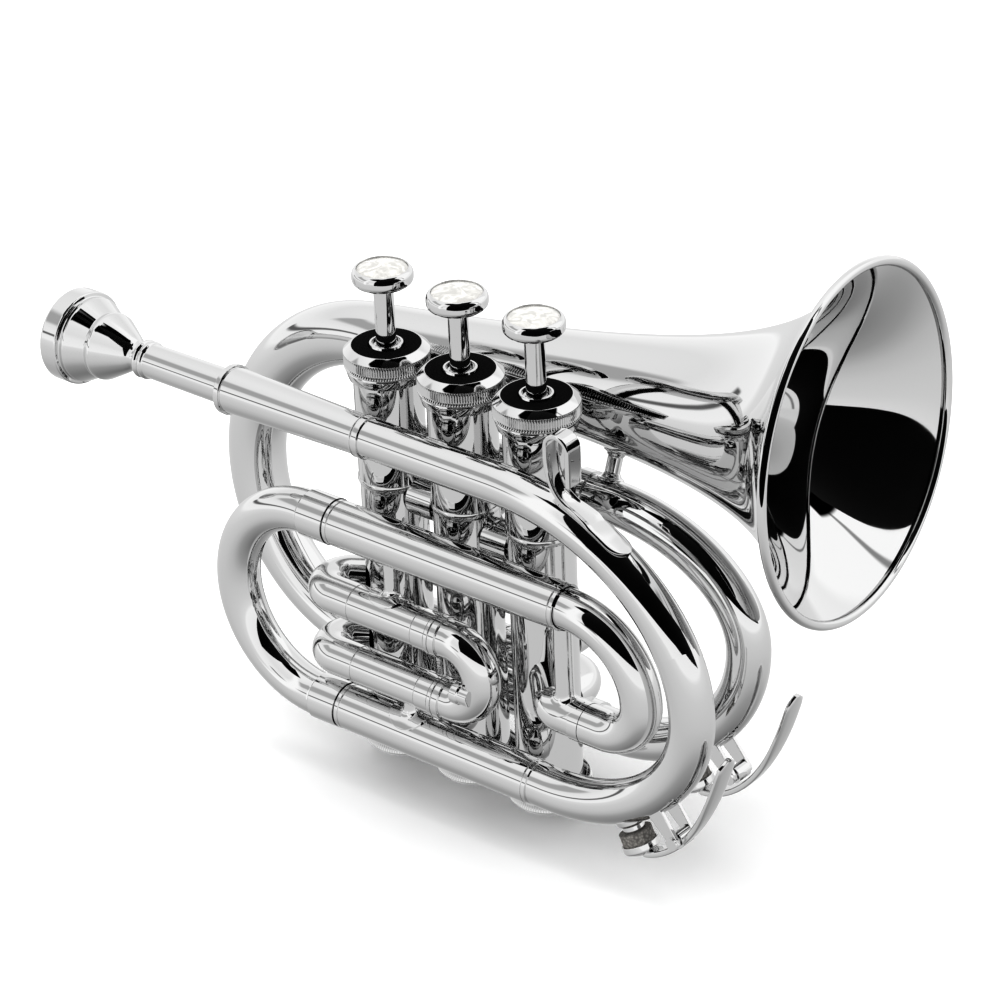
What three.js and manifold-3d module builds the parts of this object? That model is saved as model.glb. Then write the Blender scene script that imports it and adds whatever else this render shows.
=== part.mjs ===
// Pocket trumpet in silver plate, millimetres, +Z up.
// +X points to the bell, -X to the mouthpiece, +Y to the player's left, and the finger buttons point up.
// The origin is on the middle valve's axis, halfway up the casings, where the left hand wraps round them.
import * as THREE from 'three';
import { mergeVertices } from 'three/addons/utils/BufferGeometryUtils.js';
import Module from 'manifold-3d';

const wasm = await Module();
wasm.setup();

// Fineness of the round forms
const tubeSides = 12;
const portSides = 8;
const turnedSides = 16;
const bellSides = 28;
const flareRings = 6;
const stemRings = 3;
const quarterSteps = 5;
const beadSteps = 4;
const bellBowRings = 9;
const leverRings = 7;
const bendStep = THREE.MathUtils.degToRad(30);

// Clearances and overruns
const seatGap = 0.3;
const cutOverrun = 2;
const runningClearance = 0.15;

// Valve block
const valveCount = 3;
const valvePitch = 25;
const capTopZ = 60;
const casingBottomZ = -53;
const casingUpperRadius = 9.2;
const casingLowerRadius = 8.9;
const casingBoreRadius = 8.2;
const casingRingRadius = 9.5;
const casingRingZ = 21.5;
const casingRingHeight = 1.6;
const topCapRadius = 11.4;
const topCapHeight = 8;
const topCapBevelHeight = 1.65;
const topCapFlatRadius = 9.1;
const topCapBandHeight = 3.2;
const topCapSkirtRadius = 10.1;
const topCapPlate = 3.5;
const capCollarRadius = 4.8;
const capCollarInnerRadius = 3.7;
const capCollarHeight = 0.6;
const capCollarSink = 0.6;
const bottomCapRadius = 10.7;
const bottomCapHeight = 6.7;
const bottomCapBevel = 1.5;
const bottomCapLip = 0.7;
const bottomCapFloor = 2;
const springSeatRadius = 7.4;

// Piston, stem, button and spring
const pistonRadius = casingBoreRadius - runningClearance;
const pistonTopZ = 44;
const pistonBottomZ = -34;
const pistonPassageRadius = 4.4;
const springRadius = 6.9;
const springWall = 0.9;
const stemRadius = 2.65;
const stemFootRadius = 4;
const stemFootHeight = 1.8;
const buttonRadius = 8.1;
const buttonTopZ = 81.7;
const buttonHeight = 5;
const buttonRimWidth = 1.35;
const buttonLipWidth = 0.3;
const buttonDishDepth = 1.8;
const buttonSideShares = [[0, 0.6], [0.17, 0.92], [0.42, 1], [0.66, 1], [0.88, 0.94]];
const pearlHeight = 0.9;
const pearlCrown = 0.6;
const pearlCrownShare = 0.75;
const pearlShoulderShare = 0.6;

// Planes of the tubing
const nearTubeY = -18;
const farTubeY = 17.7;
const leadpipeZ = 42.55;
const upperSlideZ = 13.65;
const lowerSlideZ = -42.6;
const innerBowLowZ = -18.2;
const farUpperZ = 24.15;
const farLowerZ = -45.7;

// Tube sizes
const leadpipeRadius = 5.4;
const bowRadius = 5.95;
const farTubeRadius = 5.85;
const outerSlideRadius = 6.25;
const tubeWall = 0.6;
const slideWall = 0.55;

// Mouthpiece and receiver
const mouthpieceFaceX = -123.8;
const mouthpieceRimRadius = 13;
const mouthpieceRimWidth = 6.3;
const cupRadius = 8.3;
const cupDepth = 12;
const throatRadius = 1.85;
const backboreRadius = 4.2;
const shankRadius = 4.85;
const shankTipRadius = 4.65;
const shankCollarRadius = 5.3;
const mouthpieceLength = 86;
const mouthpieceBowlLength = 26.8;
const mouthpieceThroatLength = 12;
const mouthpieceRimRound = 0.7;
const mouthpieceBiteWidth = 1.6;
const shankCollarWidth = 3.2;
const shankCollarBevel = 0.8;
const receiverStartX = -65;
const receiverRadius = 6.35;
const receiverEndRadius = 5.35;
const receiverRingRadius = 6.9;
const receiverRingWidth = 1.6;
const receiverEndX = -18.8;
const receiverTaperLength = 16;
const leadFerruleRadius = 5.8;
const leadFerruleWidth = 2.7;

// Main tuning slide and its outer tubes
const outerSlideRearX = -29.6;
const upperSlideFrontX = 46.9;
const lowerSlideFrontX = 36;
const tuningBowX = -38.9;
const tuningFerruleRadius = 6.45;
const tuningLegReach = 42;
const outerBowTipX = 86.35;
const outerBowTipZ = -5.7;
const outerBowTopReach = 60;
const outerBowLowReach = 45.4;
const innerBowTipX = 70.45;
const innerBowTipZ = -7;
const innerBowTopReach = 22.9;
const innerBowLowReach = 11.5;
const entryRingX = 53.5;
const entryCornerX = 42;
const entryBend = 8;
const entryElbowRadius = 5.15;

// First valve slide, near side, crook towards the bell
const firstUpperZ = -9;
const firstLowerZ = -27.8;
const firstCornerX = -38.5;
const elbowBend = 6.5;
const elbowRadius = 5.3;
const crookRadius = 5.3;
const firstSleeveX = -2.7;
const firstCrookX = 8.6;
const crookFerruleLength = 4.9;
const crookFerruleRadius = 5.8;
const firstLegReach = 22;
const pullKnobRadius = 2.1;
const pullKnobNeckRadius = 1.4;
const pullKnobLength = 4.4;
const pullKnobHeadLength = 2;
const pullKnobDrop = 3;

// Second valve slide, far side, pointing to the player's left
const secondUpperZ = 12.3;
const secondLowerZ = -3.9;
const secondSleeveRadius = 5.3;
const secondCrookRadius = 5.1;
const secondSleeveY = 20;
const secondCrookY = 26.5;
const secondLegReach = 9.5;

// Third valve slide, far side, crook towards the mouthpiece
const thirdUpperZ = -15.6;
const thirdLowerZ = -32.6;
const thirdY = 18.4;
const thirdSleeveX = -4;
const thirdCrookX = -34;
const thirdLegReach = 18;
const fingerRingX = -22;
const fingerRingRadius = 11;
const fingerRingWire = 1.5;
const fingerRingFootRadius = 2.4;

// Bell branch
const farBowTipX = 77.6;
const farBowTipZ = -5.25;
const farBowTopReach = 43.8;
const farBowLowReach = 46.8;
const branchBend = 8;
const farJointX = 24;
const farFerruleRadius = 6.4;
const farFerruleLength = 4;
const bellBowX = -47.9;
const bellBowStartRadius = 6.1;
const bellBowGrowthPower = 0.55;
const bellBowEndRadius = 8.9;
const bellRimX = 99.6;
const bellRimY = 33.9;
const bellRimZ = 53.8;
const bellYaw = THREE.MathUtils.degToRad(5.03);
const bellPitch = THREE.MathUtils.degToRad(2.53);
const bellRimRadius = 47.4;
const bellSeamDistance = 40;
const bellFlareLength = 23;
const bellFlarePower = 0.82;
const bellLength = 143;
const bellWall = 0.7;
const bellBeadRadius = 1.3;
const bellBowRun = 14;

// Finger hook on the leadpipe
const hookSaddleWidth = 7.6;
const hookCurlWidth = 5.4;
const hookThickness = 1.4;
const hookEndAngle = THREE.MathUtils.degToRad(50);
const hookNeckAngle = THREE.MathUtils.degToRad(67.5);
const hookY = -18.8;
const hookBackX = 43.9;
const hookFrontX = 52.1;
const hookTopZ = 64;
const hookTipZ = 50.5;
const hookSaddleRings = 5;
const hookCurlRings = 6;
const hookHeelShares = [0.2, 0.28];
const hookPlaceShares = [-0.5, -0.2, 0.2, 0.5];

// Water keys
const keyWidth = 7;
const keyArmWidth = 4.6;
const keyThickness = 1.5;
const keyNippleRadius = 3;
const keyNippleHeight = 2.6;
const keyCorkRadius = 4.1;
const keyCorkHeight = 4.2;
const keyCupRadius = 4.6;
const keyCupHeight = 2.4;
const keyPinRadius = 1;
const keyBarrelRadius = 2.2;
const keyEarThickness = 1.2;
const keyEarWidth = 4.4;
const keyEarRootWidth = 7;
const keyEarTip = 2.4;
const keyCupOffset = 8.6;
const keyPivotOffset = 8;
const keyBendOffset = 10.2;
const nearKeyTipOffset = 6.2;
const farKeyTipOffset = 9.8;
const keyEarRoot = 1.6;
const keyTipShare = 0.7;

// Braces
const bracePostRadius = 2.1;
const braceFlangeRadius = 4.8;
const braceFlangeHeight = 1.3;
const entryPostRadius = 2.5;
const upperBraceX = -11.5;
const lowerBraceX = -8.4;
const entryBraceX = 45.8;
const frontBraceX = 32.5;
const frontBraceFlangeRadius = 3.6;
const rearBraceZ = 49;

// Colours: bright silver plate, dark steel, pearl and cork
const silver = { color: 0xe9eaec, roughness: 0.08, metalness: 1 };
const steel = { color: 0xb9bcc0, roughness: 0.3, metalness: 1 };
const pearl = { color: 0xf6f4ee, roughness: 0.25, metalness: 0 };
const cork = { color: 0x4a4743, roughness: 0.9, metalness: 0 };

const axisX = new THREE.Vector3(1, 0, 0);
const axisY = new THREE.Vector3(0, 1, 0);
const axisZ = new THREE.Vector3(0, 0, 1);
const trumpet = new THREE.Group();

function vec(x, y, z) {
  return new THREE.Vector3(x, y, z);
}

// A closed geometry becomes a solid that can be joined and cut
function solidOf(geometry) {
  const bare = geometry.clone();
  bare.deleteAttribute('normal');
  bare.deleteAttribute('uv');
  const merged = mergeVertices(bare, 1e-4);
  return new wasm.Manifold(new wasm.Mesh({
    numProp: 3,
    vertProperties: new Float32Array(merged.attributes.position.array),
    triVerts: new Uint32Array(merged.index.array),
  }));
}

function geometryOf(solid) {
  const mesh = solid.getMesh();
  const geometry = new THREE.BufferGeometry();
  geometry.setAttribute('position', new THREE.BufferAttribute(new Float32Array(mesh.vertProperties), 3));
  geometry.setIndex(new THREE.BufferAttribute(new Uint32Array(mesh.triVerts), 1));
  return geometry;
}

// Adds a named piece; a solid is turned back into a geometry first
function addPiece(name, form, finish) {
  const geometry = form.isBufferGeometry ? form : geometryOf(form);
  const mesh = new THREE.Mesh(geometry, new THREE.MeshStandardMaterial(finish));
  mesh.name = name;
  trumpet.add(mesh);
  return mesh;
}

// A profile of [height, radius] points, turned round the Z axis
function turned(profile, sides = turnedSides) {
  const points = profile.map(([height, radius]) => new THREE.Vector2(radius, height));
  const area = THREE.ShapeUtils.area(points);
  const outline = area > 0 ? points : points.slice().reverse();
  outline.push(outline[0].clone());
  const geometry = new THREE.LatheGeometry(outline, sides);
  geometry.rotateX(Math.PI / 2);
  return geometry;
}

// The same, turned round the X axis
function turnedAlongX(profile, sides = turnedSides) {
  const geometry = turned(profile, sides);
  geometry.rotateY(Math.PI / 2);
  return geometry;
}

// Stations along a path of straight runs with round bends at its corners
function bentPath(corners, bendRadius) {
  const stations = [];
  const addStation = (point, tangent) => {
    const last = stations[stations.length - 1];
    if (!last || last.point.distanceTo(point) > seatGap / 2) stations.push({ point, tangent });
  };
  const headings = corners.slice(1).map((corner, i) => corner.clone().sub(corners[i]).normalize());
  addStation(corners[0], headings[0]);
  for (let i = 1; i < corners.length - 1; i += 1) {
    const inward = headings[i - 1];
    const outward = headings[i];
    const angle = inward.angleTo(outward);
    const axis = inward.clone().cross(outward).normalize();
    const start = corners[i].clone().addScaledVector(inward, -bendRadius * Math.tan(angle / 2));
    const centre = start.clone().addScaledVector(axis.clone().cross(inward), bendRadius);
    const count = Math.max(1, Math.round(angle / bendStep));
    for (let k = 0; k <= count; k += 1) {
      const turn = angle * k / count;
      const point = start.clone().sub(centre).applyAxisAngle(axis, turn).add(centre);
      addStation(point, inward.clone().applyAxisAngle(axis, turn));
    }
  }
  addStation(corners[corners.length - 1], headings[headings.length - 1]);
  return stations;
}

// A quarter ellipse, from its tip to where it runs level, or the other way round
function quarterBow({ y, tipX, tipZ, reach, levelZ }, fromTip) {
  const rise = levelZ - tipZ;
  return Array.from({ length: quarterSteps + 1 }, (_, i) => {
    const turn = Math.PI / 2 * (fromTip ? i : quarterSteps - i) / quarterSteps;
    const along = fromTip ? 1 : -1;
    const tangent = vec(-reach * Math.sin(turn) * along, 0, rise * Math.cos(turn) * along).normalize();
    const point = vec(tipX - reach + reach * Math.cos(turn), y, tipZ + rise * Math.sin(turn));
    return { point, tangent };
  });
}

// A bow along X, from an upper run round its tip to a lower run
function ovalBow({ y, tipX, tipZ, upperZ, lowerZ, topReach, lowReach, startX, endX }) {
  const top = quarterBow({ y, tipX, tipZ, reach: topReach, levelZ: upperZ }, false);
  const low = quarterBow({ y, tipX, tipZ, reach: lowReach, levelZ: lowerZ }, true);
  const start = { point: vec(startX, y, upperZ), tangent: top[0].tangent.clone() };
  const end = { point: vec(endX, y, lowerZ), tangent: low[quarterSteps].tangent.clone() };
  return [start, ...top, ...low.slice(1), end];
}

// Length along the path at each station
function lengthsAlong(stations) {
  const lengths = [0];
  for (let i = 1; i < stations.length; i += 1) {
    lengths.push(lengths[i - 1] + stations[i].point.distanceTo(stations[i - 1].point));
  }
  return lengths;
}

function pathLength(stations) {
  return lengthsAlong(stations).pop();
}

// A loop of [up, across] points at each station, carried along the path without twisting
function loopsAlong(stations, loopAt, firstNormal = null) {
  const reference = Math.abs(stations[0].tangent.z) > 1 / 2 ? axisX : axisZ;
  const normal = (firstNormal ?? reference).clone();
  normal.addScaledVector(stations[0].tangent, -normal.dot(stations[0].tangent)).normalize();
  return stations.map((station, i) => {
    if (i > 0) {
      const turn = new THREE.Quaternion().setFromUnitVectors(stations[i - 1].tangent, station.tangent);
      normal.applyQuaternion(turn);
    }
    const binormal = station.tangent.clone().cross(normal);
    return loopAt(station, i).map(([up, across]) => station.point.clone()
      .addScaledVector(normal, up)
      .addScaledVector(binormal, across));
  });
}

// A closed skin over outer loops, and over inner loops where there is a bore.
// An inner loop has as many points as the outer one, or half as many.
function closedSkin(outerLoops, innerLoops = null) {
  const positions = [];
  const indices = [];
  const addPoint = (point) => {
    positions.push(point.x, point.y, point.z);
    return positions.length / 3 - 1;
  };
  const addFace = (a, b, c, flip) => {
    if (flip) indices.push(a, c, b);
    else indices.push(a, b, c);
  };
  const addSkin = (loops, inside) => {
    const rings = loops.map((loop) => loop.map(addPoint));
    for (let i = 1; i < rings.length; i += 1) {
      rings[i].forEach((corner, j) => {
        const next = (j + 1) % rings[i].length;
        addFace(rings[i - 1][j], rings[i - 1][next], rings[i][next], inside);
        addFace(rings[i - 1][j], rings[i][next], corner, inside);
      });
    }
    return [rings[0], rings[rings.length - 1]];
  };
  const addDisc = (loop, ring, flip) => {
    const centre = loop.reduce((sum, corner) => sum.add(corner), vec(0, 0, 0)).divideScalar(loop.length);
    const middle = addPoint(centre);
    ring.forEach((corner, j) => addFace(corner, middle, ring[(j + 1) % ring.length], flip));
  };
  const addAnnulus = (outer, inner, flip) => {
    const step = outer.length / inner.length;
    inner.forEach((corner, j) => {
      for (let k = 0; k < step; k += 1) {
        addFace(outer[j * step + k], corner, outer[(j * step + k + 1) % outer.length], flip);
      }
      addFace(outer[(j * step + step) % outer.length], corner, inner[(j + 1) % inner.length], flip);
    });
  };
  const outerEnds = addSkin(outerLoops, false);
  if (innerLoops) {
    const innerEnds = addSkin(innerLoops, true);
    addAnnulus(outerEnds[0], innerEnds[0], false);
    addAnnulus(outerEnds[1], innerEnds[1], true);
  } else {
    addDisc(outerLoops[0], outerEnds[0], false);
    addDisc(outerLoops[outerLoops.length - 1], outerEnds[1], true);
  }
  const geometry = new THREE.BufferGeometry();
  geometry.setAttribute('position', new THREE.Float32BufferAttribute(positions, 3));
  geometry.setIndex(indices);
  return geometry;
}

function circleLoop(radius, sides) {
  return Array.from({ length: sides }, (_, i) => {
    const angle = 2 * Math.PI * i / sides;
    return [radius * Math.cos(angle), radius * Math.sin(angle)];
  });
}

// The station at a length along the path
function stationAt(stations, lengths, length) {
  const i = Math.max(1, lengths.findIndex((reached) => reached >= length - seatGap / 10));
  const share = (length - lengths[i - 1]) / (lengths[i] - lengths[i - 1]);
  const point = stations[i - 1].point.clone().lerp(stations[i].point, share);
  const tangent = stations[i - 1].tangent.clone().lerp(stations[i].tangent, share).normalize();
  return { point, tangent };
}

// Stations with a radius each, stepping to another radius along every band of { from, to, radius }
function bandedStations(stations, radiusAt, bands) {
  const lengths = lengthsAlong(stations);
  const total = lengths[lengths.length - 1];
  const edges = bands.flatMap(({ from, to }) => [from, to]);
  const marks = [...lengths, ...edges].sort((a, b) => a - b)
    .filter((mark, i, all) => i === 0 || mark - all[i - 1] > seatGap / 10);
  const banded = [];
  const addStation = (length, radius) => {
    const last = banded[banded.length - 1];
    if (last && last.length === length && last.radius === radius) return;
    banded.push({ ...stationAt(stations, lengths, length), length, radius });
  };
  for (let i = 1; i < marks.length; i += 1) {
    const middle = (marks[i - 1] + marks[i]) / 2;
    const band = bands.find(({ from, to }) => from < middle && middle < to);
    addStation(marks[i - 1], band ? band.radius : radiusAt(marks[i - 1] / total));
    addStation(marks[i], band ? band.radius : radiusAt(marks[i] / total));
  }
  return banded;
}

// A round tube; the radius is a number, or a function of the share of its length
function tube(stations, radius, options = {}) {
  const { wall = tubeWall, sides = tubeSides, boreSides = tubeSides / 2 } = options;
  const { boreRadius = null, bands = [] } = options;
  const radiusAt = typeof radius === 'function' ? radius : () => radius;
  const outerStations = bandedStations(stations, radiusAt, bands);
  const outerLoops = loopsAlong(outerStations, (station) => circleLoop(station.radius, sides));
  if (wall === 0) return closedSkin(outerLoops);
  const lengths = lengthsAlong(stations);
  const total = lengths[lengths.length - 1];
  const boreAt = (i) => boreRadius ?? radiusAt(lengths[i] / total) - wall;
  return closedSkin(outerLoops, loopsAlong(stations, (station, i) => circleLoop(boreAt(i), boreSides)));
}

// A solid round bar, and a straight tube with a true bore for what slides in it
function rod(start, end, radius, sides = tubeSides) {
  return tube(bentPath([start, end], 0), radius, { wall: 0, sides });
}

function slideTube(start, end, radius, wall = tubeWall) {
  return tube(bentPath([start, end], 0), radius, { wall, boreSides: tubeSides });
}

function asSolid(form) {
  return form.isBufferGeometry ? solidOf(form) : form;
}

function join(...forms) {
  return forms.map(asSolid).reduce((sum, next) => sum.add(next));
}

function cut(form, ...tools) {
  return tools.map(asSolid).reduce((rest, next) => rest.subtract(next), asSolid(form));
}

function valveX(index) {
  return (index - 1) * valvePitch;
}

// The space that a casing fills, with the seat gap round it, for shaping what meets it
function casingSpace(index) {
  const radius = casingUpperRadius + seatGap;
  const space = turned([[casingBottomZ, 0], [casingBottomZ, radius], [capTopZ, radius], [capTopZ, 0]]);
  space.translate(valveX(index), 0, 0);
  return space;
}

// Valve casings with their side ports
const casingTopZ = capTopZ - topCapPlate - seatGap;
const portsOfCasing = [
  [
    [vec(valveX(0), 0, firstUpperZ), vec(firstCornerX, nearTubeY, firstUpperZ), elbowRadius],
    [vec(valveX(0), 0, firstLowerZ), vec(firstCornerX, nearTubeY, firstLowerZ), elbowRadius],
    [vec(valveX(0), 0, farUpperZ), vec(valveX(0), farTubeY, farUpperZ), farTubeRadius],
  ],
  [
    [vec(valveX(1), 0, secondUpperZ), vec(valveX(1), secondSleeveY, secondUpperZ), secondSleeveRadius],
    [vec(valveX(1), 0, secondLowerZ), vec(valveX(1), secondSleeveY, secondLowerZ), secondSleeveRadius],
  ],
  [
    [vec(valveX(2), 0, thirdUpperZ), vec(valveX(2), thirdY, thirdUpperZ), elbowRadius],
    [vec(valveX(2), 0, thirdLowerZ), vec(valveX(2), thirdY, thirdLowerZ), elbowRadius],
    [vec(valveX(2), 0, innerBowLowZ), vec(entryCornerX, nearTubeY, innerBowLowZ), entryElbowRadius],
  ],
];
const knuckles = [
  { left: 0, z: farUpperZ - leadpipeRadius - tubeWall, name: 'knuckle_1_2' },
  { left: 1, z: upperSlideZ, name: 'knuckle_2_3' },
];
knuckles.forEach(({ left, z }) => {
  const middle = vec((valveX(left) + valveX(left + 1)) / 2, 0, z);
  portsOfCasing[left].push([vec(valveX(left), 0, z), middle, elbowRadius]);
  portsOfCasing[left + 1].push([vec(valveX(left + 1), 0, z), middle, elbowRadius]);
});

function portCutter([start, end, radius]) {
  return rod(start, end, radius - tubeWall, portSides);
}

for (let i = 0; i < valveCount; i += 1) {
  const ringTop = casingRingZ + casingRingHeight / 2;
  const ringBottom = casingRingZ - casingRingHeight / 2;
  const shell = turned([
    [casingBottomZ, casingBoreRadius],
    [casingBottomZ, casingLowerRadius],
    [ringBottom, casingLowerRadius],
    [casingRingZ, casingRingRadius],
    [ringTop, casingUpperRadius],
    [casingTopZ, casingUpperRadius],
    [casingTopZ, casingBoreRadius],
  ], turnedSides);
  shell.translate(valveX(i), 0, 0);
  addPiece(`valve_casing_${i + 1}`, cut(shell, ...portsOfCasing[i].map((port) => portCutter(port))), silver);
}

// Knuckles between neighbouring casings
knuckles.forEach(({ left, z, name }) => {
  const body = slideTube(vec(valveX(left), 0, z), vec(valveX(left + 1), 0, z), elbowRadius);
  addPiece(name, cut(body, casingSpace(left), casingSpace(left + 1)), silver);
});

// Top caps, bottom caps, pistons, springs, buttons and pearls
function topCap() {
  const plateZ = capTopZ - topCapPlate;
  const bevelZ = capTopZ - topCapBevelHeight;
  const bandZ = bevelZ - topCapBandHeight;
  const bottomZ = capTopZ - topCapHeight;
  const stemHole = stemRadius + runningClearance;
  const screwRadius = casingUpperRadius + seatGap;
  return turned([
    [plateZ, stemHole],
    [capTopZ - capCollarSink, stemHole],
    [capTopZ - capCollarSink, capCollarInnerRadius],
    [capTopZ + capCollarHeight, capCollarInnerRadius],
    [capTopZ, capCollarRadius],
    [capTopZ, topCapFlatRadius],
    [bevelZ, topCapRadius],
    [bandZ, topCapRadius],
    [bottomZ, topCapSkirtRadius],
    [bottomZ, screwRadius],
    [plateZ, screwRadius],
  ], turnedSides);
}

function bottomCap() {
  const topZ = casingBottomZ + bottomCapLip;
  const bottomZ = topZ - bottomCapHeight;
  const screwRadius = casingLowerRadius + seatGap;
  return turned([
    [bottomZ, 0],
    [bottomZ, bottomCapRadius - bottomCapBevel],
    [bottomZ + bottomCapBevel, bottomCapRadius],
    [topZ, bottomCapRadius],
    [topZ, screwRadius],
    [casingBottomZ - seatGap, screwRadius],
    [casingBottomZ - seatGap, springSeatRadius],
    [bottomZ + bottomCapFloor, springSeatRadius],
    [bottomZ + bottomCapFloor, 0],
  ], turnedSides);
}

function piston(index) {
  const body = turned([
    [pistonBottomZ, 0],
    [pistonBottomZ, pistonRadius],
    [pistonTopZ, pistonRadius],
    [pistonTopZ, 0],
  ], turnedSides);
  const passages = knuckles.filter(({ left }) => left === index || left + 1 === index).map(({ left, z }) => {
    const side = left === index ? 1 : -1;
    const sideEnd = vec(side * (pistonRadius + cutOverrun), 0, z);
    const backEnd = vec(0, side * (pistonRadius + cutOverrun), z);
    return rod(sideEnd, backEnd, pistonPassageRadius, portSides);
  });
  return cut(body, ...passages);
}

function fingerButton() {
  const undersideZ = buttonTopZ - buttonHeight;
  const floorZ = buttonTopZ - buttonDishDepth;
  const footZ = pistonTopZ + seatGap;
  return turned([
    [footZ, 0],
    [footZ, stemFootRadius],
    [footZ + stemFootHeight, stemFootRadius],
    [footZ + stemFootHeight, stemRadius],
    [undersideZ, stemRadius],
    ...buttonSideShares.map(([rise, reach]) => [undersideZ + buttonHeight * rise, buttonRadius * reach]),
    [buttonTopZ, buttonRadius - buttonRimWidth + buttonLipWidth],
    [buttonTopZ, buttonRadius - buttonRimWidth],
    [floorZ, buttonRadius - buttonRimWidth],
    [floorZ, 0],
  ], turnedSides);
}

function pearlInlay() {
  const baseZ = buttonTopZ - buttonDishDepth + seatGap;
  const radius = buttonRadius - buttonRimWidth - seatGap;
  return turned([
    [baseZ, 0],
    [baseZ, radius],
    [baseZ + pearlHeight, radius],
    [baseZ + pearlHeight + pearlCrown * pearlCrownShare, radius * pearlShoulderShare],
    [baseZ + pearlHeight + pearlCrown, 0],
  ], turnedSides);
}

function valveSpring() {
  const bottomZ = casingBottomZ + bottomCapLip - bottomCapHeight + bottomCapFloor + seatGap;
  const topZ = pistonBottomZ - seatGap;
  return slideTube(vec(0, 0, bottomZ), vec(0, 0, topZ), springRadius, springWall);
}

for (let i = 0; i < valveCount; i += 1) {
  const pieces = [
    [`top_cap_${i + 1}`, topCap(), silver],
    [`bottom_cap_${i + 1}`, bottomCap(), silver],
    [`piston_${i + 1}`, piston(i), steel],
    [`valve_spring_${i + 1}`, valveSpring(), steel],
    [`finger_button_${i + 1}`, fingerButton(), silver],
    [`button_pearl_${i + 1}`, pearlInlay(), pearl],
  ];
  pieces.forEach(([name, form, finish]) => addPiece(name, form, finish).position.set(valveX(i), 0, 0));
}

// Mouthpiece and receiver, turned round the leadpipe's axis.
// The bowl's outside is in shares of its length from the face and of the rim's radius.
const bowlOutsideShares = [
  [0.3, 0.91], [0.49, 0.7], [0.555, 0.725],
  [0.865, 0.385], [0.92, 0.27], [1, 0.262],
];
const rimUndercutShare = 0.885;
const cupInsideShares = [[1, 0.3], [0.7, 0.6], [0.35, 0.9]];
function mouthpiece() {
  const faceX = mouthpieceFaceX;
  const tipX = faceX + mouthpieceLength;
  const rimEndX = faceX + mouthpieceRimWidth;
  const neckX = faceX + mouthpieceBowlLength;
  const throatEndX = faceX + cupDepth + mouthpieceThroatLength;
  return turnedAlongX([
    [faceX + mouthpieceRimRound, cupRadius],
    [faceX, cupRadius + mouthpieceBiteWidth],
    [faceX, mouthpieceRimRadius - mouthpieceRimRound],
    [faceX + mouthpieceRimRound, mouthpieceRimRadius],
    [rimEndX, mouthpieceRimRadius],
    [rimEndX, mouthpieceRimRadius * rimUndercutShare],
    ...bowlOutsideShares.map(([reach, width]) => [
      faceX + mouthpieceBowlLength * reach,
      mouthpieceRimRadius * width,
    ]),
    [neckX + shankCollarBevel, shankCollarRadius],
    [neckX + shankCollarWidth, shankCollarRadius],
    [neckX + shankCollarWidth + shankCollarBevel, shankRadius],
    [receiverStartX, shankRadius],
    [tipX, shankTipRadius],
    [tipX, backboreRadius],
    [throatEndX, throatRadius],
    [faceX + cupDepth, throatRadius],
    ...cupInsideShares.map(([depth, width]) => [faceX + cupDepth * depth, cupRadius * width]),
  ]);
}

function receiver() {
  const boreRadius = shankRadius + runningClearance;
  const ringEnd = receiverStartX + receiverRingWidth;
  const ferruleEnd = receiverEndX + leadFerruleWidth;
  return turnedAlongX([
    [receiverStartX, boreRadius],
    [receiverStartX, receiverRingRadius],
    [ringEnd, receiverRingRadius],
    [ringEnd, receiverRadius],
    [receiverEndX, receiverEndRadius],
    [receiverEndX, leadFerruleRadius],
    [ferruleEnd, leadFerruleRadius],
    [ferruleEnd, leadpipeRadius - tubeWall],
    [receiverEndX, leadpipeRadius - tubeWall],
    [receiverEndX - receiverTaperLength, boreRadius],
  ]);
}

addPiece('mouthpiece', mouthpiece(), silver).position.set(0, nearTubeY, leadpipeZ);
addPiece('mouthpiece_receiver', receiver(), silver).position.set(0, nearTubeY, leadpipeZ);

// Leadpipe with the front bow that turns down into the lower slide tube
const leadpipeStartX = receiverEndX + leadFerruleWidth + seatGap;
const outerBow = {
  y: nearTubeY,
  tipX: outerBowTipX,
  tipZ: outerBowTipZ,
  upperZ: leadpipeZ,
  lowerZ: lowerSlideZ,
  topReach: outerBowTopReach,
  lowReach: outerBowLowReach,
  startX: leadpipeStartX,
  endX: lowerSlideFrontX + seatGap,
};
const leadpipePath = ovalBow(outerBow);
const farBow = {
  y: farTubeY,
  tipX: farBowTipX,
  tipZ: farBowTipZ,
  upperZ: farUpperZ,
  lowerZ: farLowerZ,
  topReach: farBowTopReach,
  lowReach: farBowLowReach,
  startX: farJointX + seatGap,
  endX: farJointX + seatGap,
};

// Water keys: each is placed by its angle on the lower quarter of its bow and a height above the outside
const nearKey = { bow: outerBow, radius: leadpipeRadius, tipOffset: nearKeyTipOffset };
const farKey = { bow: farBow, radius: farTubeRadius, tipOffset: farKeyTipOffset };
const keyCupAngle = THREE.MathUtils.degToRad(-59.5);
const keyPivotAngle = THREE.MathUtils.degToRad(-43.5);
const keyTipAngle = THREE.MathUtils.degToRad(-8);

// The direction straight out of an oval bow, and the point a height above its outside
function outOfBow(bow, angle) {
  const reach = angle > 0 ? bow.topReach : bow.lowReach;
  const rise = angle > 0 ? bow.upperZ - bow.tipZ : bow.tipZ - bow.lowerZ;
  return vec(Math.cos(angle) / reach, 0, Math.sin(angle) / rise).normalize();
}

function onBow(bow, angle, outside) {
  const reach = angle > 0 ? bow.topReach : bow.lowReach;
  const rise = angle > 0 ? bow.upperZ - bow.tipZ : bow.tipZ - bow.lowerZ;
  const middle = vec(bow.tipX - reach + reach * Math.cos(angle), bow.y, bow.tipZ + rise * Math.sin(angle));
  return middle.addScaledVector(outOfBow(bow, angle), outside);
}

function onKey(key, angle, height) {
  return onBow(key.bow, angle, key.radius + height);
}

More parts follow.
